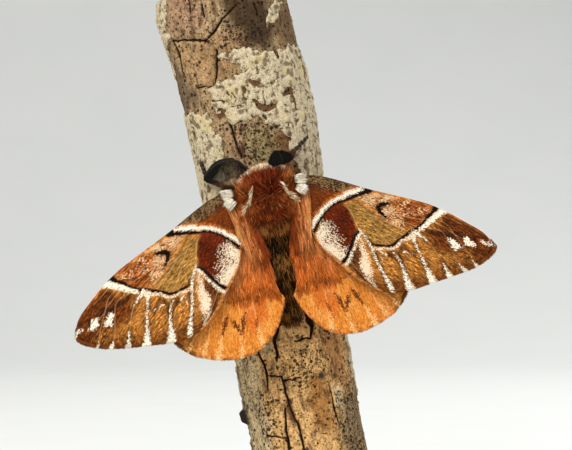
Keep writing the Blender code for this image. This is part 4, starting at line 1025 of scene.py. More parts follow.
def hind_ground(plan):
    """(ground, light scales' colour, speckle) of the hindwing: orange, warmer to the root, brown at the corner."""
    flat3 = np.c_[plan, np.zeros(len(plan))]
    waver = plan + 0.3 * noises(flat3, 1.1, 3, 81, 83)
    cloud = layered_noise(flat3 * [1, 0.4, 1], 0.8, 4, 85)
    ground = plain(len(plan), 218, 134, 52)
    ground = paint(ground, soft(-(plan[:, 1] + 11.0), 3.0), rgb(206, 112, 52))
    blush = [(3.2, -12.4), (5.9, -12.6), (6.2, -15.6), (4.8, -16.6), (3.0, -15.0)]
    ground = paint(ground, 0.65 * soft(to_area(waver, blush), 0.7), rgb(206, 96, 34))
    ground = paint(ground, 0.5 * soft(-(plan[:, 0] - 11.5), 2.0), rgb(196, 128, 62))
    ground = paint(ground, 0.9 * soft(to_area(waver, HIND_CORNER), 0.8), rgb(158, 98, 38))
    ground = paint(ground, 0.25 * np.clip(cloud, 0, 1), rgb(244, 180, 106))
    ground = paint(ground, 0.30 * np.clip(-cloud, 0, 1), rgb(184, 96, 34))
    light = plain(len(plan), 244, 190, 126)
    return ground, light, np.clip(0.02 + 0.05 * cloud, 0, 1)


# %% [markdown]
# ## Building a wing
# The sheet is doubled for its two faces and closed round the rim. Veins stand up from it as ridges, and the
# membrane sinks a little between them, which catches the light as on the real wing.


# %% wing builder
def build_wing(name, side, plan, layer, costa_roll, veins, whites, darks, ground_of, material, slot_name):
    """A closed thin wing: its plan, at the roof's height less the layer and the front's roll, with ridged veins."""
    rows, columns = plan.shape[:2]
    u = np.linspace(0, 1, rows)[:, None]
    v = np.linspace(0, 1, columns)[None, :]
    flat_plan = plan.reshape(-1, 2)
    vein_gap = to_lines(flat_plan, *[through(line, 24) for line in veins])
    ridge = (np.exp(-(np.maximum(vein_gap, 0) / 0.13) ** 2)).reshape(rows, columns)
    pleat = 0.10 * np.sin(2 * np.pi * 8 * v) * u * (1 - 0.3 * u)
    middle = roof(plan[..., 0]) - layer - costa_roll * (1 - v) ** 4 * np.sin(np.pi * u**0.7 / 2) + pleat
    thick = (0.34 - 0.20 * u) * (1 - 0.5 * np.abs(2 * v - 1) ** 8)
    top = middle + thick / 2 + ridge * (0.14 - 0.08 * u)
    under = middle - thick / 2 - ridge * 0.05
    points = np.vstack([np.dstack([plan, z]).reshape(-1, 3) for z in (top, under)])
    points[:, 0] *= side
    count = rows * columns
    upper = grid_faces(rows, columns)[:, ::-1]
    lower = grid_faces(rows, columns, first=count)
    rim = np.concatenate([np.arange(columns), np.arange(1, rows) * columns + columns - 1,
                          (rows - 1) * columns + np.arange(columns - 2, -1, -1),
                          np.arange(rows - 2, 0, -1) * columns])
    after = np.roll(rim, -1)
    walls = np.stack([rim, after, after + count, rim + count], -1)
    faces = np.vstack([upper, lower, walls])
    if side < 0:
        faces = faces[:, ::-1]
    ground, light, speckle = ground_of(flat_plan)
    paler = paint(ground, np.full(len(ground), 0.55), rgb(176, 122, 66))
    gap_light, gap_dark = to_lines(flat_plan, *whites[0]), to_lines(flat_plan, *darks)
    if whites[1]:
        gap_light = np.minimum(gap_light, np.min([to_area(flat_plan, area) for area in whites[1]], axis=0))
    place = np.stack([u * 27 + 0 * v, v * 14 + 0 * u], -1).reshape(-1, 2)
    piece = make_mesh(name, placed(points, MOTH), [faces], material, values={
        "ground": np.vstack([ground, paler]), "light": np.vstack([light, light]),
        "speckle": np.concatenate([speckle, 0.5 * speckle]), "vein_gap": np.concatenate([vein_gap, vein_gap]),
        "light_gap": np.concatenate([gap_light, gap_light + 0.06]),
        "dark_gap": np.concatenate([gap_dark, gap_dark + 0.12])}, maps={"wing_place": np.vstack([place, place + 40])})
    return dress(piece, slot_name, slot_name + name[name.rindex("_"):])


FORE_GRID, HIND_GRID = (214, 118, 0.22), (130, 140, 0.25)  # rows, columns, and the fringe's length
fore_plans = {word: wing_plan(FORE_COSTA + tip, FORE_INNER, [tip[-1], *edge, *FORE_OUTER], FORE_ROOT_Y, *FORE_GRID)
              for word, tip, edge in (("right", RIGHT_TIP, RIGHT_EDGE), ("left", LEFT_TIP, LEFT_EDGE))}
hind_plan = wing_plan(HIND_COSTA, HIND_INNER, HIND_OUTER, HIND_ROOT_Y, *HIND_GRID)
for word, side in (("right", 1), ("left", -1)):
    build_wing("patterned_forewing_" + word, side, fore_plans[word], 0.0, COSTA_ROLL, FORE_VEINS,
               (WHITE_LINES, WHITE_AREAS), BLACK_LINES, fore_ground, fore_material, "forewing")
    build_wing("patterned_hindwing_" + word, side, hind_plan, WING_LAYER, 0.0, HIND_VEINS,
               (HIND_PALE, []), HIND_DARK, hind_ground, hind_material, "hindwing")

# %% [markdown]
# ## One skin under the fur
# Head, thorax and abdomen are one body, so one skin covers all three and shows no seam. It is a row of ovals
# along the body's length. It lies a little inside the solid forms, which leaves room for the depth of the coat.

# %% body skin
ABDOMEN = [(-4.3, -1.05, 2.15, 2.1), (-6, -1.55, 2.35, 2.2), (-9, -2.15, 2.05, 2.0), (-12, -2.8, 1.7, 1.6),
           (-14.5, -3.3, 1.25, 1.2), (-15.9, -3.6, 0.7, 0.75)]
HEAD = [(3.5, -1.75, 0.5, 0.5), (3.25, -1.65, 1.05, 1.05), (2.85, -1.5, 1.4, 1.4), (2.35, -1.3, 1.45, 1.5),
        (2.05, -1.15, 1.2, 1.3)]
OVALS = np.array(ABDOMEN[::-1] + THORAX[::-1] + HEAD[::-1])
COAT_DEPTH = 0.22
EYE_PLACE, EYE_RADIUS = (1.25, 2.95, -1.9), 0.75


def on_skin(y, degrees, off=0.0):
    """(points, outward directions) of the body at y and degrees round from the back's midline."""
    mid, wide, high = (np.interp(y, OVALS[:, 0], OVALS[:, k]) for k in (1, 2, 3))
    wide, high = wide - COAT_DEPTH, high - COAT_DEPTH
    a = np.radians(degrees)
    out = unit(np.stack([np.sin(a) / wide, np.zeros_like(a + y), np.cos(a) / high], -1))
    return np.stack([wide * np.sin(a), y + 0 * a, mid + high * np.cos(a)], -1) + out * off, out


def fur_colour(points, degrees):
    """The coat's markings: dark red-brown above, orange at the sides, pale shoulder lines, black and gold abdomen.
    Painted light on the right side of the thorax.
    """
    x, y = np.abs(points[:, 0]), points[:, 1]
    top = np.clip(np.cos(np.radians(degrees)) + 0.2, 0, 1)
    cloud = layered_noise(points * [1, 0.5, 1], 0.9, 3, 91)
    tint = plain(len(points), 88, 26, 8)
    tint = paint(tint, np.clip(cloud, 0, 1) * 0.5, rgb(150, 66, 22))
    sides = soft(1.9 + 0.4 * cloud - x, 0.8)
    tint = paint(tint, sides, rgb(166, 82, 26))
    tint = paint(tint, sides * np.clip(cloud, 0, 1), rgb(208, 138, 70))
    # Painted light: the thorax's right side, turned away from the key light, is made lighter orange.
    tint = paint(tint, 0.55 * soft(2.0 - points[:, 0], 0.6) * (y > -1.2), rgb(222, 138, 70))
    tint = paint(tint, soft(y + 2.5 + 0.5 * cloud, 0.5), rgb(66, 34, 12))
    tint = paint(tint, soft(y + 2.9, 0.4) * np.clip(cloud * 1.6, 0, 1), rgb(168, 116, 58))
    abdomen_tint = paint(plain(len(points), 60, 34, 14), np.clip(cloud * 1.4 + 0.1, 0, 1), rgb(160, 104, 48))
    tint = paint(tint, soft(y + 4.9, 0.4), abdomen_tint)
    tint = paint(tint, soft(np.hypot((points[:, 0] - 0.2) / 0.95, (y + 6.0) / 0.95) - 1, 0.35) * top, rgb(10, 8, 8))
    tint = paint(tint, soft(2.15 - y, 0.3), rgb(176, 140, 98))
    return paint(tint, (1 - top) * 0.6, rgb(104, 60, 30))


skin_y = np.linspace(-15.85, 3.45, 110)
skin_a = np.linspace(-180, 180, 96, endpoint=False)
grid_y, grid_a = np.meshgrid(skin_y, skin_a, indexing="ij")
skin_points, _ = on_skin(grid_y, grid_a)
points, faces = closed_rings(skin_points)
degrees = np.r_[grid_a.ravel(), 0, 0]


# %% [markdown]
# ## Fur as solid locks
# Each lock of fur is a thin blade with three sides: a root, two rings and a tip. Ten points are enough, because
# tens of thousands of them overlap. All locks of a coat are worked out together: where each root stands, which
# way it lies, how far it rises and how it bends back. Slow noise gathers neighbours into wisps.


# %% fur material and lock builder
def fur_material(name, rough):
    """Fur that takes each lock's own tint, with finer streaks of light and dark laid over it."""
    material, tree, shader = new_material(name, rough)
    shader.inputs["Specular IOR Level"].default_value = 0.06
    here = object_place(tree)
    streak = noise(tree, here, 9000.0, 2.0)
    tint = stored(tree, "tint", "Color")
    tone = blend(tree, spread(tree, streak, 0.45, 0.75, 0.0, 0.8), tint, (1.7, 1.6, 1.5), "MULTIPLY")
    tree.links.new(blend(tree, spread(tree, streak, 0.5, 0.25, 0.0, 0.4), tone, SOOT), shader.inputs["Base Color"])
    return material


red_fur, dark_fur = fur_material("red_fur", 0.62), fur_material("dark_fur", 0.6)
pale_fur, orange_hair = fur_material("pale_fur", 0.6), fur_material("orange_hair", 0.55)
skin = make_mesh("body_skin", placed(points, MOTH), faces, red_fur,
                 values={"tint": fur_colour(points, degrees) * 0.45},
                 maps={"OFBake": np.c_[degrees / 360 + 0.5, (points[:, 1] + 17) / 22]})
dress(skin, "fur_red", "thorax", "head", "abdomen")

RING_AT = np.array([0.0, 0.38, 0.72, 1.0])  # share of a lock's length at its root, two rings and tip
RING_WIDE = np.array([0.8, 1.0, 0.6, 0.0])  # share of its width there


def upright(count):
    """The moth's own up for each of count locks."""
    return np.tile([0.0, 0.0, 1.0], (count, 1))


def locks(roots, lie, up, length, width, rise, droop=0.0):
    """(points, faces) of many blades: centre(t) = root + length * (lie * t + up * (rise * t - droop * t squared))."""
    up = unit(up)
    lie = unit(lie - up * np.sum(lie * up, axis=1, keepdims=True))
    across = np.cross(up, lie)
    t = RING_AT[None, :, None]
    size, width, rise, droop = (np.broadcast_to(value, len(roots))[:, None, None]
                                for value in (length, width, rise, droop))
    centre = roots[:, None] + size * (lie[:, None] * t + up[:, None] * (rise * t - droop * t**2))
    half = width * RING_WIDE[None, :, None] / 2
    offset = across[:, None] * half
    sides = np.stack([centre + offset, centre + up[:, None] * half * 0.8, centre - offset], 2)
    points = np.concatenate([sides[:, :3].reshape(len(roots), 9, 3), centre[:, 3:]], axis=1)
    j = np.arange(3)
    k = (j + 1) % 3
    quads = np.concatenate([np.stack([j, k, k + 3, j + 3], -1) + up_one for up_one in (0, 3)])
    ends = np.vstack([np.stack([6 + j, 6 + k, np.full(3, 9)], -1), [[2, 1, 0]]])
    first = (np.arange(len(roots)) * 10)[:, None, None]
    return points.reshape(-1, 3), [(quads[None] + first).reshape(-1, 4), (ends[None] + first).reshape(-1, 3)]


ALONG = np.r_[np.repeat(RING_AT[:3], 3), 1.0]
PATCH_SIDE = 0.003  # width of a lock's patch on the coat's map
PATCH = PATCH_SIDE * np.c_[np.r_[np.tile([0, 0.5, 1], 3), 0.5], ALONG]


def lay_coat(name, slot_name, material, roots, lie, up, length, width, rise, droop, tint, unwrap, root_shade=0.4,
             tip_shade=1.15, wisp=0.28, jitter=0.12, vary=0.3):
    """Locks at roots, turned by slow noise (wisps) and by chance (jitter), each with painted shade at its root."""
    rng = np.random.default_rng(len(roots))
    lie = unit(lie) + wisp * noises(roots, 0.7, 2, 101, 103, 105) + jitter * rng.normal(size=roots.shape)
    length = length * rng.uniform(0.75, 1.15, len(roots))
    width = width * rng.uniform(0.7, 1.3, len(roots))
    rise = rise * rng.uniform(0.5, 1.4, len(roots))
    points, faces = locks(roots, lie, up, length, width, rise, droop)
    # Painted shade: each lock runs from dark at its root, where the coat shades itself, to lighter at its tip.
    shade_along_lock = (root_shade + (tip_shade - root_shade) * ALONG)[None, :, None]
    strand = 1 + vary * rng.uniform(-1, 1, len(roots)) + 1.6 * vary * layered_noise(roots, 0.45, 2, 107)
    each = (tint * np.clip(strand, 0.3, 2.2)[:, None])[:, None] * shade_along_lock
    uv = (unwrap[:, None] + PATCH[None]).reshape(-1, 2)
    tints = np.clip(each, 0, 1).reshape(-1, 3)
    piece = make_mesh(name, placed(points, MOTH), faces, material, values={"tint": tints}, maps={"OFBake": uv})
    return dress(piece, slot_name)


def body_unwrap(y, degrees):
    """A root's place on the coat's map: degrees round the body across it, and y along the body up it."""
    return np.c_[(degrees + 180) / 360 * 0.99, (y + 17) / 22]


# %% [markdown]
# ## The thorax and its collar
# The thorax is a dome of long, dense fur that streams back and out to both sides. In front it lies forwards as a
# collar over the head, with a short cream fringe at its rim. Roots are thrown at random over the skin's ovals,
# and more of them land on the back than below, where the coat is thinner.

# %% thorax fur
rng = np.random.default_rng(11)


def thrown(count, y_range, spread_degrees, underside=0.3):
    """Random (y, degrees) pairs: most within spread_degrees of the back's midline, the rest all the way round."""
    y = rng.uniform(*y_range, count)
    wide = rng.random(count) < underside
    return y, np.where(wide, rng.uniform(-180, 180, count), rng.uniform(-spread_degrees, spread_degrees, count))


def thorax_lie(roots, y, deg):
    """(above, lie, length, rise) of the thorax's hair. Near the parting each hair falls forwards or back by chance."""
    side_share = np.sin(np.radians(deg))
    forward = soft(0.6 - y + 0.8 * layered_noise(roots, 1.3, 2, 121) + rng.normal(0, 0.5, len(y)), 0.3)
    above = np.abs(deg) < 95
    tousle = np.c_[noises(roots, 1.1, 2, 123, 125), np.zeros(len(y))]
    lie = np.c_[(0.35 + 0.6 * forward) * side_share, -1 + 2 * forward, np.zeros(len(y))] + 0.9 * tousle
    run = np.where(above, 1.5 + 0.3 * forward * np.abs(side_share), 1.2)
    return above, lie, run, np.where(above, 0.6 + 0.1 * forward, 0.25)


THORAX_ENDS, THORAX_LOCKS, GUARD_LOCKS = (-4.2, 1.8), 11500, 8000
y, deg = thrown(THORAX_LOCKS, THORAX_ENDS, 82, 0.28)
roots, out = on_skin(y, deg, -0.12)
above, lie, run, climb = thorax_lie(roots, y, deg)
tint = fur_colour(roots, deg)
tuft_gap = np.minimum(np.hypot((roots[:, 0] - 0.35) / 0.5, (y + 0.85) / 0.3),
                      np.hypot((roots[:, 0] + 0.55) / 0.4, (y + 1.35) / 0.22))
tint = paint(tint, soft(tuft_gap - 1, 0.3) * (rng.random(len(y)) < 0.35) * (above * 0.8), rgb(206, 156, 104))
lay_coat("thorax_fur", "fur_red", red_fur, roots, lie, out, run, 0.12, climb, 0.35, tint, body_unwrap(y, deg),
         root_shade=0.3, tip_shade=1.6, wisp=0.6, jitter=0.2, vary=0.45)

y, deg = thrown(GUARD_LOCKS, THORAX_ENDS, 90, 0.2)
roots, out = on_skin(y, deg, 0.05)
above, lie, run, climb = thorax_lie(roots, y, deg)
tint = paint(fur_colour(roots, deg), 0.75 * rng.random(len(y)), rgb(186, 98, 44))
tint = tint * np.where(rng.random(len(y)) < 0.45, 0.3, 1.1)[:, None]
lay_coat("thorax_guard_hair", "fur_red", red_fur, roots, lie, out, run * 1.05, 0.06, climb, 0.3, tint,
         body_unwrap(y, deg), tip_shade=1.4, wisp=0.7, jitter=0.3)

# %% cream fringe and head
BROW = [(-3.35, 2.2), (-2.6, 2.75), (-1.8, 3.15), (-0.9, 3.5), (0.0, 3.65), (1.0, 3.5), (1.9, 3.2), (2.8, 2.85)]
count = 2200
brow = through(BROW, count)
tangent = unit(np.gradient(brow, axis=0))
fan = np.c_[-tangent[:, 1], tangent[:, 0], np.zeros(count)]
roots = np.c_[brow, np.zeros(count)] - fan * rng.uniform(0.3, 0.75, (count, 1))
roots[:, 2] += rng.uniform(0.2, 1.35, count)
fringe_tint = paint(plain(count, 190, 156, 118), rng.random(count), rgb(236, 220, 192))
lay_coat("cream_fringe", "fur_pale", pale_fur, roots, fan, upright(count), 0.6, 0.09, 0.2, 0.2, fringe_tint,
         body_unwrap(roots[:, 1], brow[:, 0] * 25), root_shade=0.6, wisp=0.45, jitter=0.25)

y, deg = rng.uniform(1.9, 3.4, count), rng.uniform(-180, 180, count)
roots, out = on_skin(y, deg, -0.05)
clear = np.linalg.norm(np.c_[np.abs(roots[:, 0]), roots[:, 1:]] - EYE_PLACE, axis=1) > EYE_RADIUS + 0.07
y, deg, roots, out = y[clear], deg[clear], roots[clear], out[clear]
lay_coat("head_fur", "fur_pale", pale_fur, roots, np.tile([0.0, 1.0, -0.15], (len(y), 1)), out, 0.75, 0.11, 0.5, 0.2,
         paint(plain(len(y), 120, 70, 34), rng.random(len(y)) * 0.7, rgb(206, 170, 126)), body_unwrap(y, deg))

# %% [markdown]
# ## Shoulder tufts and pale lines
# Two snow-white tufts stand out over the root of each forewing, and a pale line runs down each side of the back.
# They are locks as well, but rooted along drawn lines instead of thrown over the skin.

# %% white tufts
SHOULDERS = [((3.9, 1.05), (5.0, 0.95)), ((3.9, 0.1), (5.0, -0.6))]
TUFT_LOCKS, LINE_LOCKS = 480, 80
SHOULDER_LINE = [(1.72, 1.2), (2.15, 0.2), (2.65, -0.7), (3.35, -1.6)]
roots, lies = [], []
for side in (1, -1):
    for start, tip in SHOULDERS:
        count = TUFT_LOCKS
        start, tip = np.array(start), np.array(tip)
        turn_by = rng.uniform(-0.33, 0.33, count)
        way = (tip - start) / np.linalg.norm(tip - start)
        across_way = np.array([-way[1], way[0]])
        at = start + across_way * (turn_by * 1.35)[:, None] + way * rng.uniform(-0.1, 0.45, count)[:, None]
        heading = way + across_way * 0.55 * turn_by[:, None]
        at += [0.4, -0.1] if side < 0 else [-0.1, 0.0]
        roots.append(np.c_[side * at[:, 0], at[:, 1], rng.uniform(1.5, 2.1, count) - 0.12 * (at[:, 0] - 3.3)])
        lies.append(np.c_[side * heading[:, 0], heading[:, 1], np.full(count, -0.12)])
roots, lies = np.vstack(roots), np.vstack(lies)
shoulder_tint = paint(plain(len(roots), 250, 244, 226), rng.random(len(roots)) * 0.5, rgb(206, 184, 146))
lay_coat("shoulder_tufts", "fur_pale", pale_fur, roots, lies, upright(len(roots)), rng.uniform(0.7, 1.1, len(roots)),
         0.1, 0.25, 0.25, shoulder_tint, body_unwrap(roots[:, 1], roots[:, 0] * 22), root_shade=0.6, tip_shade=1.1,
         wisp=0.2, jitter=0.1)

line = through(SHOULDER_LINE, LINE_LOCKS)
heading = unit(np.gradient(line, axis=0))
line_side = np.repeat([1, -1], LINE_LOCKS)
at, heading = np.vstack([line, line]), np.vstack([heading, heading])
count = len(at)
at = at + rng.normal(0, 0.09, at.shape) * np.interp(np.abs(at[:, :1]), [1.6, 3.4], [0.6, 1.8])
height_at = np.interp(np.abs(at[:, 0]), [1.5, 3.4], [3.45, 2.4])
roots = np.c_[line_side * at[:, 0], at[:, 1], height_at + rng.uniform(-0.3, 0.2, count)]
lies = np.c_[line_side * (heading[:, 0] + 0.25), heading[:, 1], np.full(count, -0.1)]
line_tint = paint(plain(count, 186, 142, 98), rng.random(count), rgb(236, 220, 188))
lay_coat("shoulder_lines", "fur_pale", pale_fur, roots, lies, upright(count), 0.65, 0.085, 0.3, 0.2, line_tint,
         body_unwrap(roots[:, 1], roots[:, 0] * 22), root_shade=0.6, wisp=0.35, jitter=0.2)

# %% [markdown]
# ## Abdomen fur
# The abdomen carries long gold-tipped hair over a black ground. It thins towards the tail, which ends in a brush.

# %% abdomen fur
y, deg = thrown(9000, (-15.8, -4.0), 100, 0.45)
roots, out = on_skin(y, deg, -0.08)
tint = fur_colour(roots, deg)
tint = paint(tint, (rng.random(len(y)) < 0.35) * 0.8, rgb(24, 13, 6))
lie = np.c_[0.25 * np.sin(np.radians(deg)), -np.ones(len(y)), np.full(len(y), -0.1)]
lay_coat("abdomen_fur", "fur_dark", dark_fur, roots, lie, out, 1.6, 0.14, 0.45, 0.3, tint, body_unwrap(y, deg),
         root_shade=0.25, tip_shade=1.5, wisp=0.45, jitter=0.2, vary=0.45)

y, deg = thrown(4500, (-15.5, -4.0), 105, 0.3)
roots, out = on_skin(y, deg, 0.0)
gold = rng.random(len(y)) < 0.5
shade = 0.35 + 0.65 * soft(0.08 - fur_colour(roots, deg).sum(1), 0.06)
tint = np.where(gold[:, None], rgb(176, 122, 60), rgb(22, 12, 6)) * shade[:, None]
lie = np.c_[0.25 * np.sin(np.radians(deg)), -np.ones(len(y)), np.full(len(y), -0.1)]
lay_coat("abdomen_guard_hair", "fur_dark", dark_fur, roots, lie, out, 1.7, 0.065, 0.5, 0.3, tint,
         body_unwrap(y, deg), tip_shade=1.3, wisp=0.5, jitter=0.25)

# %% [markdown]
# ## Long hair on the wings
# From the sides of the thorax, orange hair streams back over the roots of the forewings and down the inner part of
# each hindwing. It lies on the wing like combed silk, so its rise is small and its lie follows the wing's own veins.


# %% wing hair
def wing_height(x, layer):
    """Top of the wing at x: the roof less its layer, plus half the sheet."""
    return roof(x) - layer + 0.17


def hair_field(name, slot_name, count, region, length, layer, tints, rise, bow, fade=None):
    """Hair on both wings, combed from head to end of a region with two corners at its head and two at its end."""
    s, t = rng.random(count)[:, None], rng.random(count)[:, None]
    t = t if fade is None else 1 - np.sqrt(1 - t)
    a, b, c, d = (np.array(p, float) for p in region)
    at = (1 - t) * ((1 - s) * a + s * b) + t * ((1 - s) * d + s * c)
    way = unit((1 - s) * (d - a) + s * (c - b))
    side = np.where(np.arange(count) % 2, 1, -1)
    roots = np.c_[side * at[:, 0], at[:, 1], wing_height(at[:, 0], layer) - 0.05 + 0.12 * rng.random(count)]
    slope = -ROOF_SLOPE * way[:, 0] * at[:, 0] / np.hypot(at[:, 0], ROOF_ROUND)
    lies = np.c_[side * way[:, 0], way[:, 1], slope]
    run = length[0] + (length[1] - length[0]) * t[:, 0]
    strand = layered_noise(np.c_[at * [2.6, 0.2], np.zeros(count)], 1.0, 3, 111) + rng.normal(0, 0.22, count)
    tint = paint(np.tile(tints[0], (count, 1)), np.clip(strand * 0.8 + 0.1 + 0.7 * s[:, 0], 0, 1), tints[1])
    tint = paint(tint, 0.75 * soft(s[:, 0] - 0.22 - 0.1 * strand, 0.12), tints[2])
    if fade is not None:
        middle = at + way * run[:, None] * 0.6
        tint = paint(tint, np.clip(1.8 * t[:, 0] - 0.55, 0, 0.9), fade)
        tint = paint(tint, 0.6 * soft(to_line(middle, HIND_DARK[0]) - 0.1, 0.3), rgb(112, 46, 14))
    unwrap = np.c_[at[:, 0] / 30 + 0.5 * (side > 0), -at[:, 1] / 24 + 0.1]
    return lay_coat(name, slot_name, orange_hair, roots, lies, upright(count), run, 0.11, rise, bow, tint, unwrap,
                    root_shade=0.55, wisp=0.18, jitter=0.06)


hair_field("hindwing_hair", "hindwing", 11500, [(2.1, -4.2), (5.2, -4.6), (7.2, -12.8), (1.0, -13.2)], (3.4, 0.8),
           WING_LAYER, (rgb(200, 108, 44), rgb(240, 156, 88), rgb(176, 82, 32)), 0.16, 0.16, rgb(208, 112, 42))
hair_field("shoulder_hair", "fur_red", 8500, [(2.3, -0.6), (5.35, -0.5), (4.1, -6.0), (2.0, -6.2)], (2.8, 2.4),
           0.0, (rgb(156, 74, 26), rgb(222, 150, 88), rgb(110, 42, 12)), 0.24, 0.3)

# %% [markdown]
# ## Fringes
# Every wing ends in a fringe of short hair-scales. They are rooted at random depths behind the last row of the
# wing's grid and point straight out, so the edge looks soft and a little uneven.


# %% wing fringes
def outer_edge(plan):
    """The rim's last row, and the row a little inside it."""
    return plan[-1], plan[-8]


def inner_edge(plan):
    """The rim's inner side behind the root, and the column a little inside it."""
    return plan[20:, -1], plan[20:, -8]


def fringe(name, slot_name, plan, edge, side, layer, count, length, tint_of):
    """Short locks along one edge of a wing. edge picks (rim points, inner neighbours) from its plan."""
    rim, inner = edge(plan)
    steps = np.linspace(0, len(rim) - 1, count)
    at = np.stack([np.interp(steps, np.arange(len(rim)), rim[:, k]) for k in (0, 1)], -1)
    before = np.stack([np.interp(steps, np.arange(len(rim)), inner[:, k]) for k in (0, 1)], -1)
    way = unit(at - before)
    at = at - way * rng.uniform(0.02, 0.3, count)[:, None]
    roots = np.c_[side * at[:, 0], at[:, 1], roof(at[:, 0]) - layer + rng.uniform(-0.05, 0.07, count)]
    lies = np.c_[side * way[:, 0], way[:, 1], -ROOF_SLOPE * way[:, 0]]
    tint, unwrap = tint_of(at), np.c_[at[:, 0] / 30, -at[:, 1] / 24 + 0.1]
    return lay_coat(name, slot_name, orange_hair, roots, lies, upright(count), length, 0.08, 0.02, 0.0, tint, unwrap,
                    root_shade=0.9, tip_shade=1.0, wisp=0.1, jitter=0.08)


def inner_fringe_tint(at):
    """Rust to pale orange by chance."""
    return paint(plain(len(at), 196, 112, 48), rng.random(len(at)) * 0.7, rgb(232, 180, 116))


def fore_fringe_tint(at):
    """Brown, and white where a white line meets the edge."""
    white = soft(to_lines(at, *WHITE_LINES) - 0.1, 0.12)
    return paint(plain(len(at), 116, 64, 22), white, rgb(240, 226, 200))


def hind_fringe_tint(at):
    """Orange, brown at the corner, and pale where a pale line meets the edge."""
    orange = paint(plain(len(at), 216, 136, 62), soft(12.9 - at[:, 0], 0.6), rgb(120, 72, 28))
    return paint(orange, soft(to_lines(at, *HIND_PALE) - 0.1, 0.15), rgb(246, 204, 150))


for word, side in (("right", 1), ("left", -1)):
    plan = fore_plans[word]
    fringe("forewing_fringe_" + word, "forewing", plan, outer_edge, side, 0.0, 2400, 0.34, fore_fringe_tint)
    fringe("inner_fringe_" + word, "forewing", plan, inner_edge, side, 0.0, 1500, 0.3, inner_fringe_tint)
    fringe("hindwing_fringe_" + word, "hindwing", hind_plan, outer_edge, side, WING_LAYER, 2400, 0.4,
           hind_fringe_tint)

# %% [markdown]
# ## Antennae
# A male carries two broad combs. Each has a thin shaft with two rows of fine rays, and each ray bears rows of
# bristles, which is why the comb looks like one dark plate. The shaft is a tube along a smooth curve, the rays
# are tubes whose length rises and falls along it, and the bristles are tiny locks rooted on the rays.

# %% antenna curves
ANTENNAE = {  # shaft, ways of its two rows of rays, longest ray, where on the shaft they start
    "left": ([(-1.9, 3.7, .7), (-2.7, 4.7, 1.0), (-3.85, 5.05, 1.0), (-5.1, 4.95, .7), (-6.2, 4.45, .2),
              (-7.2, 3.7, -.5)], (-.28, -1, .1), (-.1, .2, -1), 2.65, 0.14),
    "right": ([(1.8, 3.1, 1.0), (2.6, 3.6, 1.9), (2.5, 4.3, 3.0), (2.2, 4.8, 3.8), (1.9, 4.95, 4.4)],
              (-1, -.35, 0), (1, -.25, -.3), 1.8, 0.36)}
RAYS, RAY_STEPS, SHAFT_STEPS = 70, 9, 240
comb_material, tree, shader = new_material("antenna_comb", 0.6)
shader.inputs["Specular IOR Level"].default_value = 0.08
banding = noise(tree, object_place(tree), 7000.0, 2.0)
comb_tint = blend(tree, spread(tree, banding, 0.35, 0.7), rgb(4, 4, 4), rgb(25, 24, 20))
tree.links.new(blend(tree, stored(tree, "pale"), comb_tint, rgb(150, 138, 118)), shader.inputs["Base Color"])
bump(tree, shader, banding, 0.3, 0.00003)


def merge(*parts):
    """Several (points, face arrays) joined as one, with the later parts' face numbers moved up."""
    first, all_points, all_faces = 0, [], []
    for part_points, part_faces in parts:
        all_points.append(part_points)
        all_faces += [f + first for f in part_faces]
        first += len(part_points)
    return np.vstack(all_points), all_faces


def build_antenna(word, line, inner, outer, longest, first):
    """Shaft, rays as long as a rounded sine of their place on it, and bristles across the rays."""
    root, out = on_skin(np.array([2.65]), np.array([math.copysign(42, line[0][0])]), 0.15)
    shaft = through([tuple(root[0]), *line], SHAFT_STEPS)
    ahead = unit(np.gradient(shaft, axis=0))
    thick = np.linspace(0.17, 0.07, SHAFT_STEPS)
    parts = [tubes([shaft[::4]], [thick[::4]], 8)]
    t = np.linspace(0, 1, RAYS)
    at = np.round((first + (0.99 - first) * t) * (SHAFT_STEPS - 1)).astype(int)
    length = longest * np.sin(np.pi * (0.07 + 0.88 * t) ** 0.8)
    s = np.linspace(0, 1, RAY_STEPS)[None, :, None]
    ray_paths = []
    for way, share in ((inner, 1.0), (outer, 0.85)):
        way = np.array(way) / np.linalg.norm(way)
        bend = ahead[at][:, None] * 0.30 * s**2 + unit(np.cross(ahead[at], way))[:, None] * 0.05 * s**2
        ray_paths.append(shaft[at][:, None] + (length * share)[:, None, None] * (way * s + bend))
    ray_paths = np.vstack(ray_paths)
    radii = np.tile(0.05 * (1 - 0.6 * s[0, :, 0] ** 1.5), (len(ray_paths), 1))
    parts.append(tubes(ray_paths, radii, 5))
    along = unit(np.gradient(ray_paths, axis=1))
    side_way = np.vstack([ahead[at], ahead[at]])[:, None] * np.ones((1, RAY_STEPS, 1))
    roots = ray_paths[:, 1:].reshape(-1, 3)
    halfway = 0.5 * (ray_paths[:, :-1] - ray_paths[:, 1:]).reshape(-1, 3)
    for sign in (1, -1):
        lie = unit(sign * side_way + 0.6 * along)[:, 1:].reshape(-1, 3)
        up = unit(np.cross(side_way, along))[:, 1:].reshape(-1, 3)
        parts.append(locks(roots, lie, up, 0.17, 0.022, 0.1))
        parts.append(locks(roots + halfway, lie, up, 0.16, 0.022, -0.1))
    points, faces = merge(*parts)
    pale = np.zeros(len(points))
    pale[:len(parts[0][0])] = 0.06
    piece = make_mesh("comb_antenna_" + word, placed(points, MOTH), faces, comb_material, values={"pale": pale})
    dress(piece, "antenna", "antenna_" + word)


for word, ways in ANTENNAE.items():
    build_antenna(word, *ways)

# %% [markdown]
# ## Eyes
# A moth's eye is a dome of thousands of facets. The dome is a plain ball, turned from rings, and the facets are a
# Voronoi bump, since each is only a few hundredths of a millimetre across.

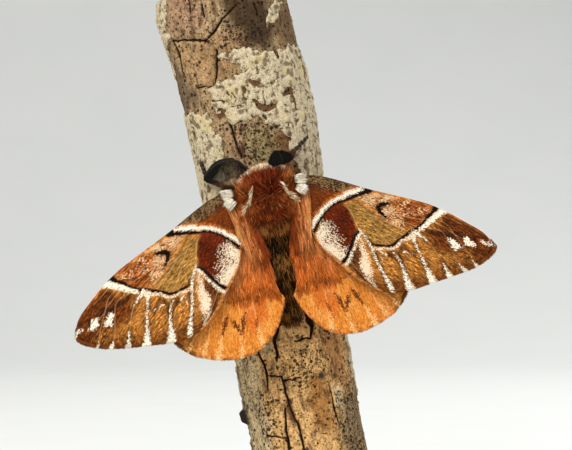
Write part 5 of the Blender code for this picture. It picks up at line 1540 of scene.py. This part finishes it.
# %% eyes
facets, tree, shader = new_material("eye_facets", 0.22)
shader.inputs["Coat Weight"].default_value = 0.6
shader.inputs["Coat Roughness"].default_value = 0.12
here = object_place(tree)
cells = node(tree, "ShaderNodeTexVoronoi", {"Vector": here, "Scale": 22000.0})
eye_tint = blend(tree, spread(tree, noise(tree, here, 1800.0), 0.4, 0.7), rgb(16, 9, 6), rgb(52, 28, 16))
tree.links.new(eye_tint, shader.inputs["Base Color"])
bump(tree, shader, cells.outputs["Distance"], 0.3, 0.00003)
for word, side in (("right", 1), ("left", -1)):
    rise_by = np.linspace(-np.pi / 2, np.pi / 2, 34)[1:-1]
    ball = spun(np.c_[EYE_RADIUS * np.cos(rise_by), EYE_RADIUS * np.sin(rise_by)], 48)
    points, faces = closed_rings(ball + np.array([side * EYE_PLACE[0], *EYE_PLACE[1:]]))
    points[-2, 2] -= 0.003
    points[-1, 2] += 0.003
    dress(make_mesh("facet_eye_" + word, placed(points, MOTH), faces, facets), "eye", "eye_" + word)

# %% [markdown]
# ## Legs
# Each leg bends from under the thorax to the bark: a thick thigh, a thinner shin and a foot of five short joints
# that ends in two claws. A leg is one tube along a smooth curve, whose radius swells at each joint. Short hair
# covers thigh and shin.

# %% leg curves
LEG_WAYS = {
    "foreleg_left": ((.9, -150), (-4.6, 1.9, -3.9), (-50, 3.2), (-57, 5.6)),
    "foreleg_right": ((.9, 150), (3.6, 3.3, -4.1), (37, 4.8), (59, 6.4)),
    "midleg_left": ((-.3, -146), (-5, -.9, -4), (-54, -2), (-62, -4.2)),
    "midleg_right": ((-.3, 146), (4.8, -.9, -4.2), (54, -2), (62, -4.2)),
    "hindleg_left": ((-2.3, -150), (-3.9, -5.2, -4), (-40, -7.4), (-47, -10.4)),
    "hindleg_right": ((-2.3, 150), (4.1, -5.2, -4.2), (44, -7.4), (50, -10.4))}
BRANCH_TO_MOTH = np.linalg.inv(MOTH) @ BRANCH
THORAX_ALONG = (np.linalg.inv(BRANCH) @ [*THORAX_MID, 1])[2]


def foot_place(degrees, up_from_thorax, off):
    """A point off the bark, given round the branch and up from the thorax, in the moth's axes."""
    a, h = math.radians(degrees), THORAX_ALONG + up_from_thorax
    r = float(bark_radius(np.array(a), np.array(h))) + off
    return (BRANCH_TO_MOTH @ [r * math.sin(a), -r * math.cos(a), h, 1])[:3]


shell, tree, shader = new_material("leg_shell", 0.45)
here = object_place(tree)
shell_tint = blend(tree, spread(tree, noise(tree, here, 2600.0, 4.0), 0.35, 0.65), rgb(20, 13, 8), rgb(56, 38, 22))
tree.links.new(shell_tint, shader.inputs["Base Color"])
shader.inputs["Specular IOR Level"].default_value = 0.2
bump(tree, shader, noise(tree, here, 16000.0, 2.0), 0.4, 0.00003)

LEG_STEPS, LEG_HAIRS = 120, 520
leg_hair = []
for name, ((y, deg), knee, heel, toe) in LEG_WAYS.items():
    root, out = on_skin(np.array([y]), np.array([deg]), 0.0)
    knee, hip = np.array(knee), root[0] + out[0] * 0.2
    heel_at, toe_at = foot_place(*heel, 0.72), foot_place(*toe, 0.62)
    thigh = hip + out[0] * 1.1
    shin = knee + (heel_at - knee) * 0.55 + [0, 0, 0.1]
    path = through([hip, thigh, (thigh + knee) / 2, knee, knee + 0.4 * (shin - knee), shin, heel_at,
                    (heel_at + toe_at) / 2, toe_at], LEG_STEPS)
    run = np.linspace(0, 1, LEG_STEPS)
    toe_from = 1 - np.linalg.norm(toe_at - heel_at) / np.linalg.norm(np.diff(path, axis=0), axis=1).sum()
    radius = np.interp(run, [0, .12, .3, .38, .43, .6, toe_from, 1], [.4, .46, .36, .28, .32, .3, .3, .27])
    joints = np.where(run > toe_from, 0.05 * np.cos(2 * np.pi * 5 * (run - toe_from) / (1 - toe_from)) - 0.02, 0)
    radius = (radius + joints)[None]
    radius[:, -1] = 0.05
    parts = [tubes([path], radius, 12)]
    ahead = unit(path[-1] - path[-6])
    down = unit(-np.array(foot_place(toe[0], toe[1], 1.0) - toe_at))
    beside = np.cross(ahead, down)
    s = np.linspace(0, 1, 7)[:, None]
    claws = [path[-1] + 0.34 * s * ahead + sign * 0.16 * s * beside + 0.26 * s**2 * down for sign in (1, -1)]
    parts.append(tubes(claws, np.tile(0.05 * (1 - 0.85 * s[:, 0]), (2, 1)), 6))
    points, faces = merge(*parts)
    dress(make_mesh("bent_" + name, placed(points, MOTH), faces, shell), "leg", name)
    pick = rng.integers(4, int(115 * toe_from), LEG_HAIRS)
    around = rng.uniform(0, 2 * np.pi, LEG_HAIRS)
    ahead_at = unit(np.gradient(path, axis=0))[pick]
    helper = unit(np.cross(ahead_at, [0.3, 0.2, 1.0]))
    out_at = helper * np.cos(around)[:, None] + np.cross(ahead_at, helper) * np.sin(around)[:, None]
    leg_hair.append((path[pick] + out_at * radius[0, pick][:, None] * 0.85, ahead_at, out_at, pick / LEG_STEPS))
roots, lies, ups, runs = (np.concatenate(part) for part in zip(*leg_hair))
lay_coat("leg_hair", "leg", dark_fur, roots, lies, ups, 0.62, 0.07, 0.35, 0.2,
         paint(plain(len(roots), 66, 38, 20), rng.random(len(roots)) * 0.5, rgb(140, 88, 50)),
         np.c_[runs * 0.9, np.repeat(np.arange(6) / 6, LEG_HAIRS)])

# %% [markdown]
# ## Palps
# Two short furry palps point forwards under the face. They need no skin of their own: their locks are rooted
# along two short lines, and stand all round them.

# %% palps
count = 360
along_palp = rng.random(count)[:, None]
side = np.where(np.arange(count) % 2, 1, -1)[:, None]
way = unit(side * [0.25, 0, 0] + [0, 0.9, -0.45])
around = rng.uniform(0, 2 * np.pi, count)
helper = unit(np.cross(way, [0, 0, 1.0]))
out = helper * np.cos(around)[:, None] + np.cross(way, helper) * np.sin(around)[:, None]
roots = side * [0.5, 0, 0] + [0, 2.9, -2.35] + way * along_palp * 0.9
lay_coat("palp_fur", "fur_pale", pale_fur, roots, way, out, 0.55, 0.12, 0.4, 0.3,
         paint(plain(count, 112, 64, 30), rng.random(count) * 0.6, rgb(190, 150, 106)),
         np.c_[along_palp[:, 0] * 0.4 + 0.5 * (side[:, 0] > 0), around / 7])
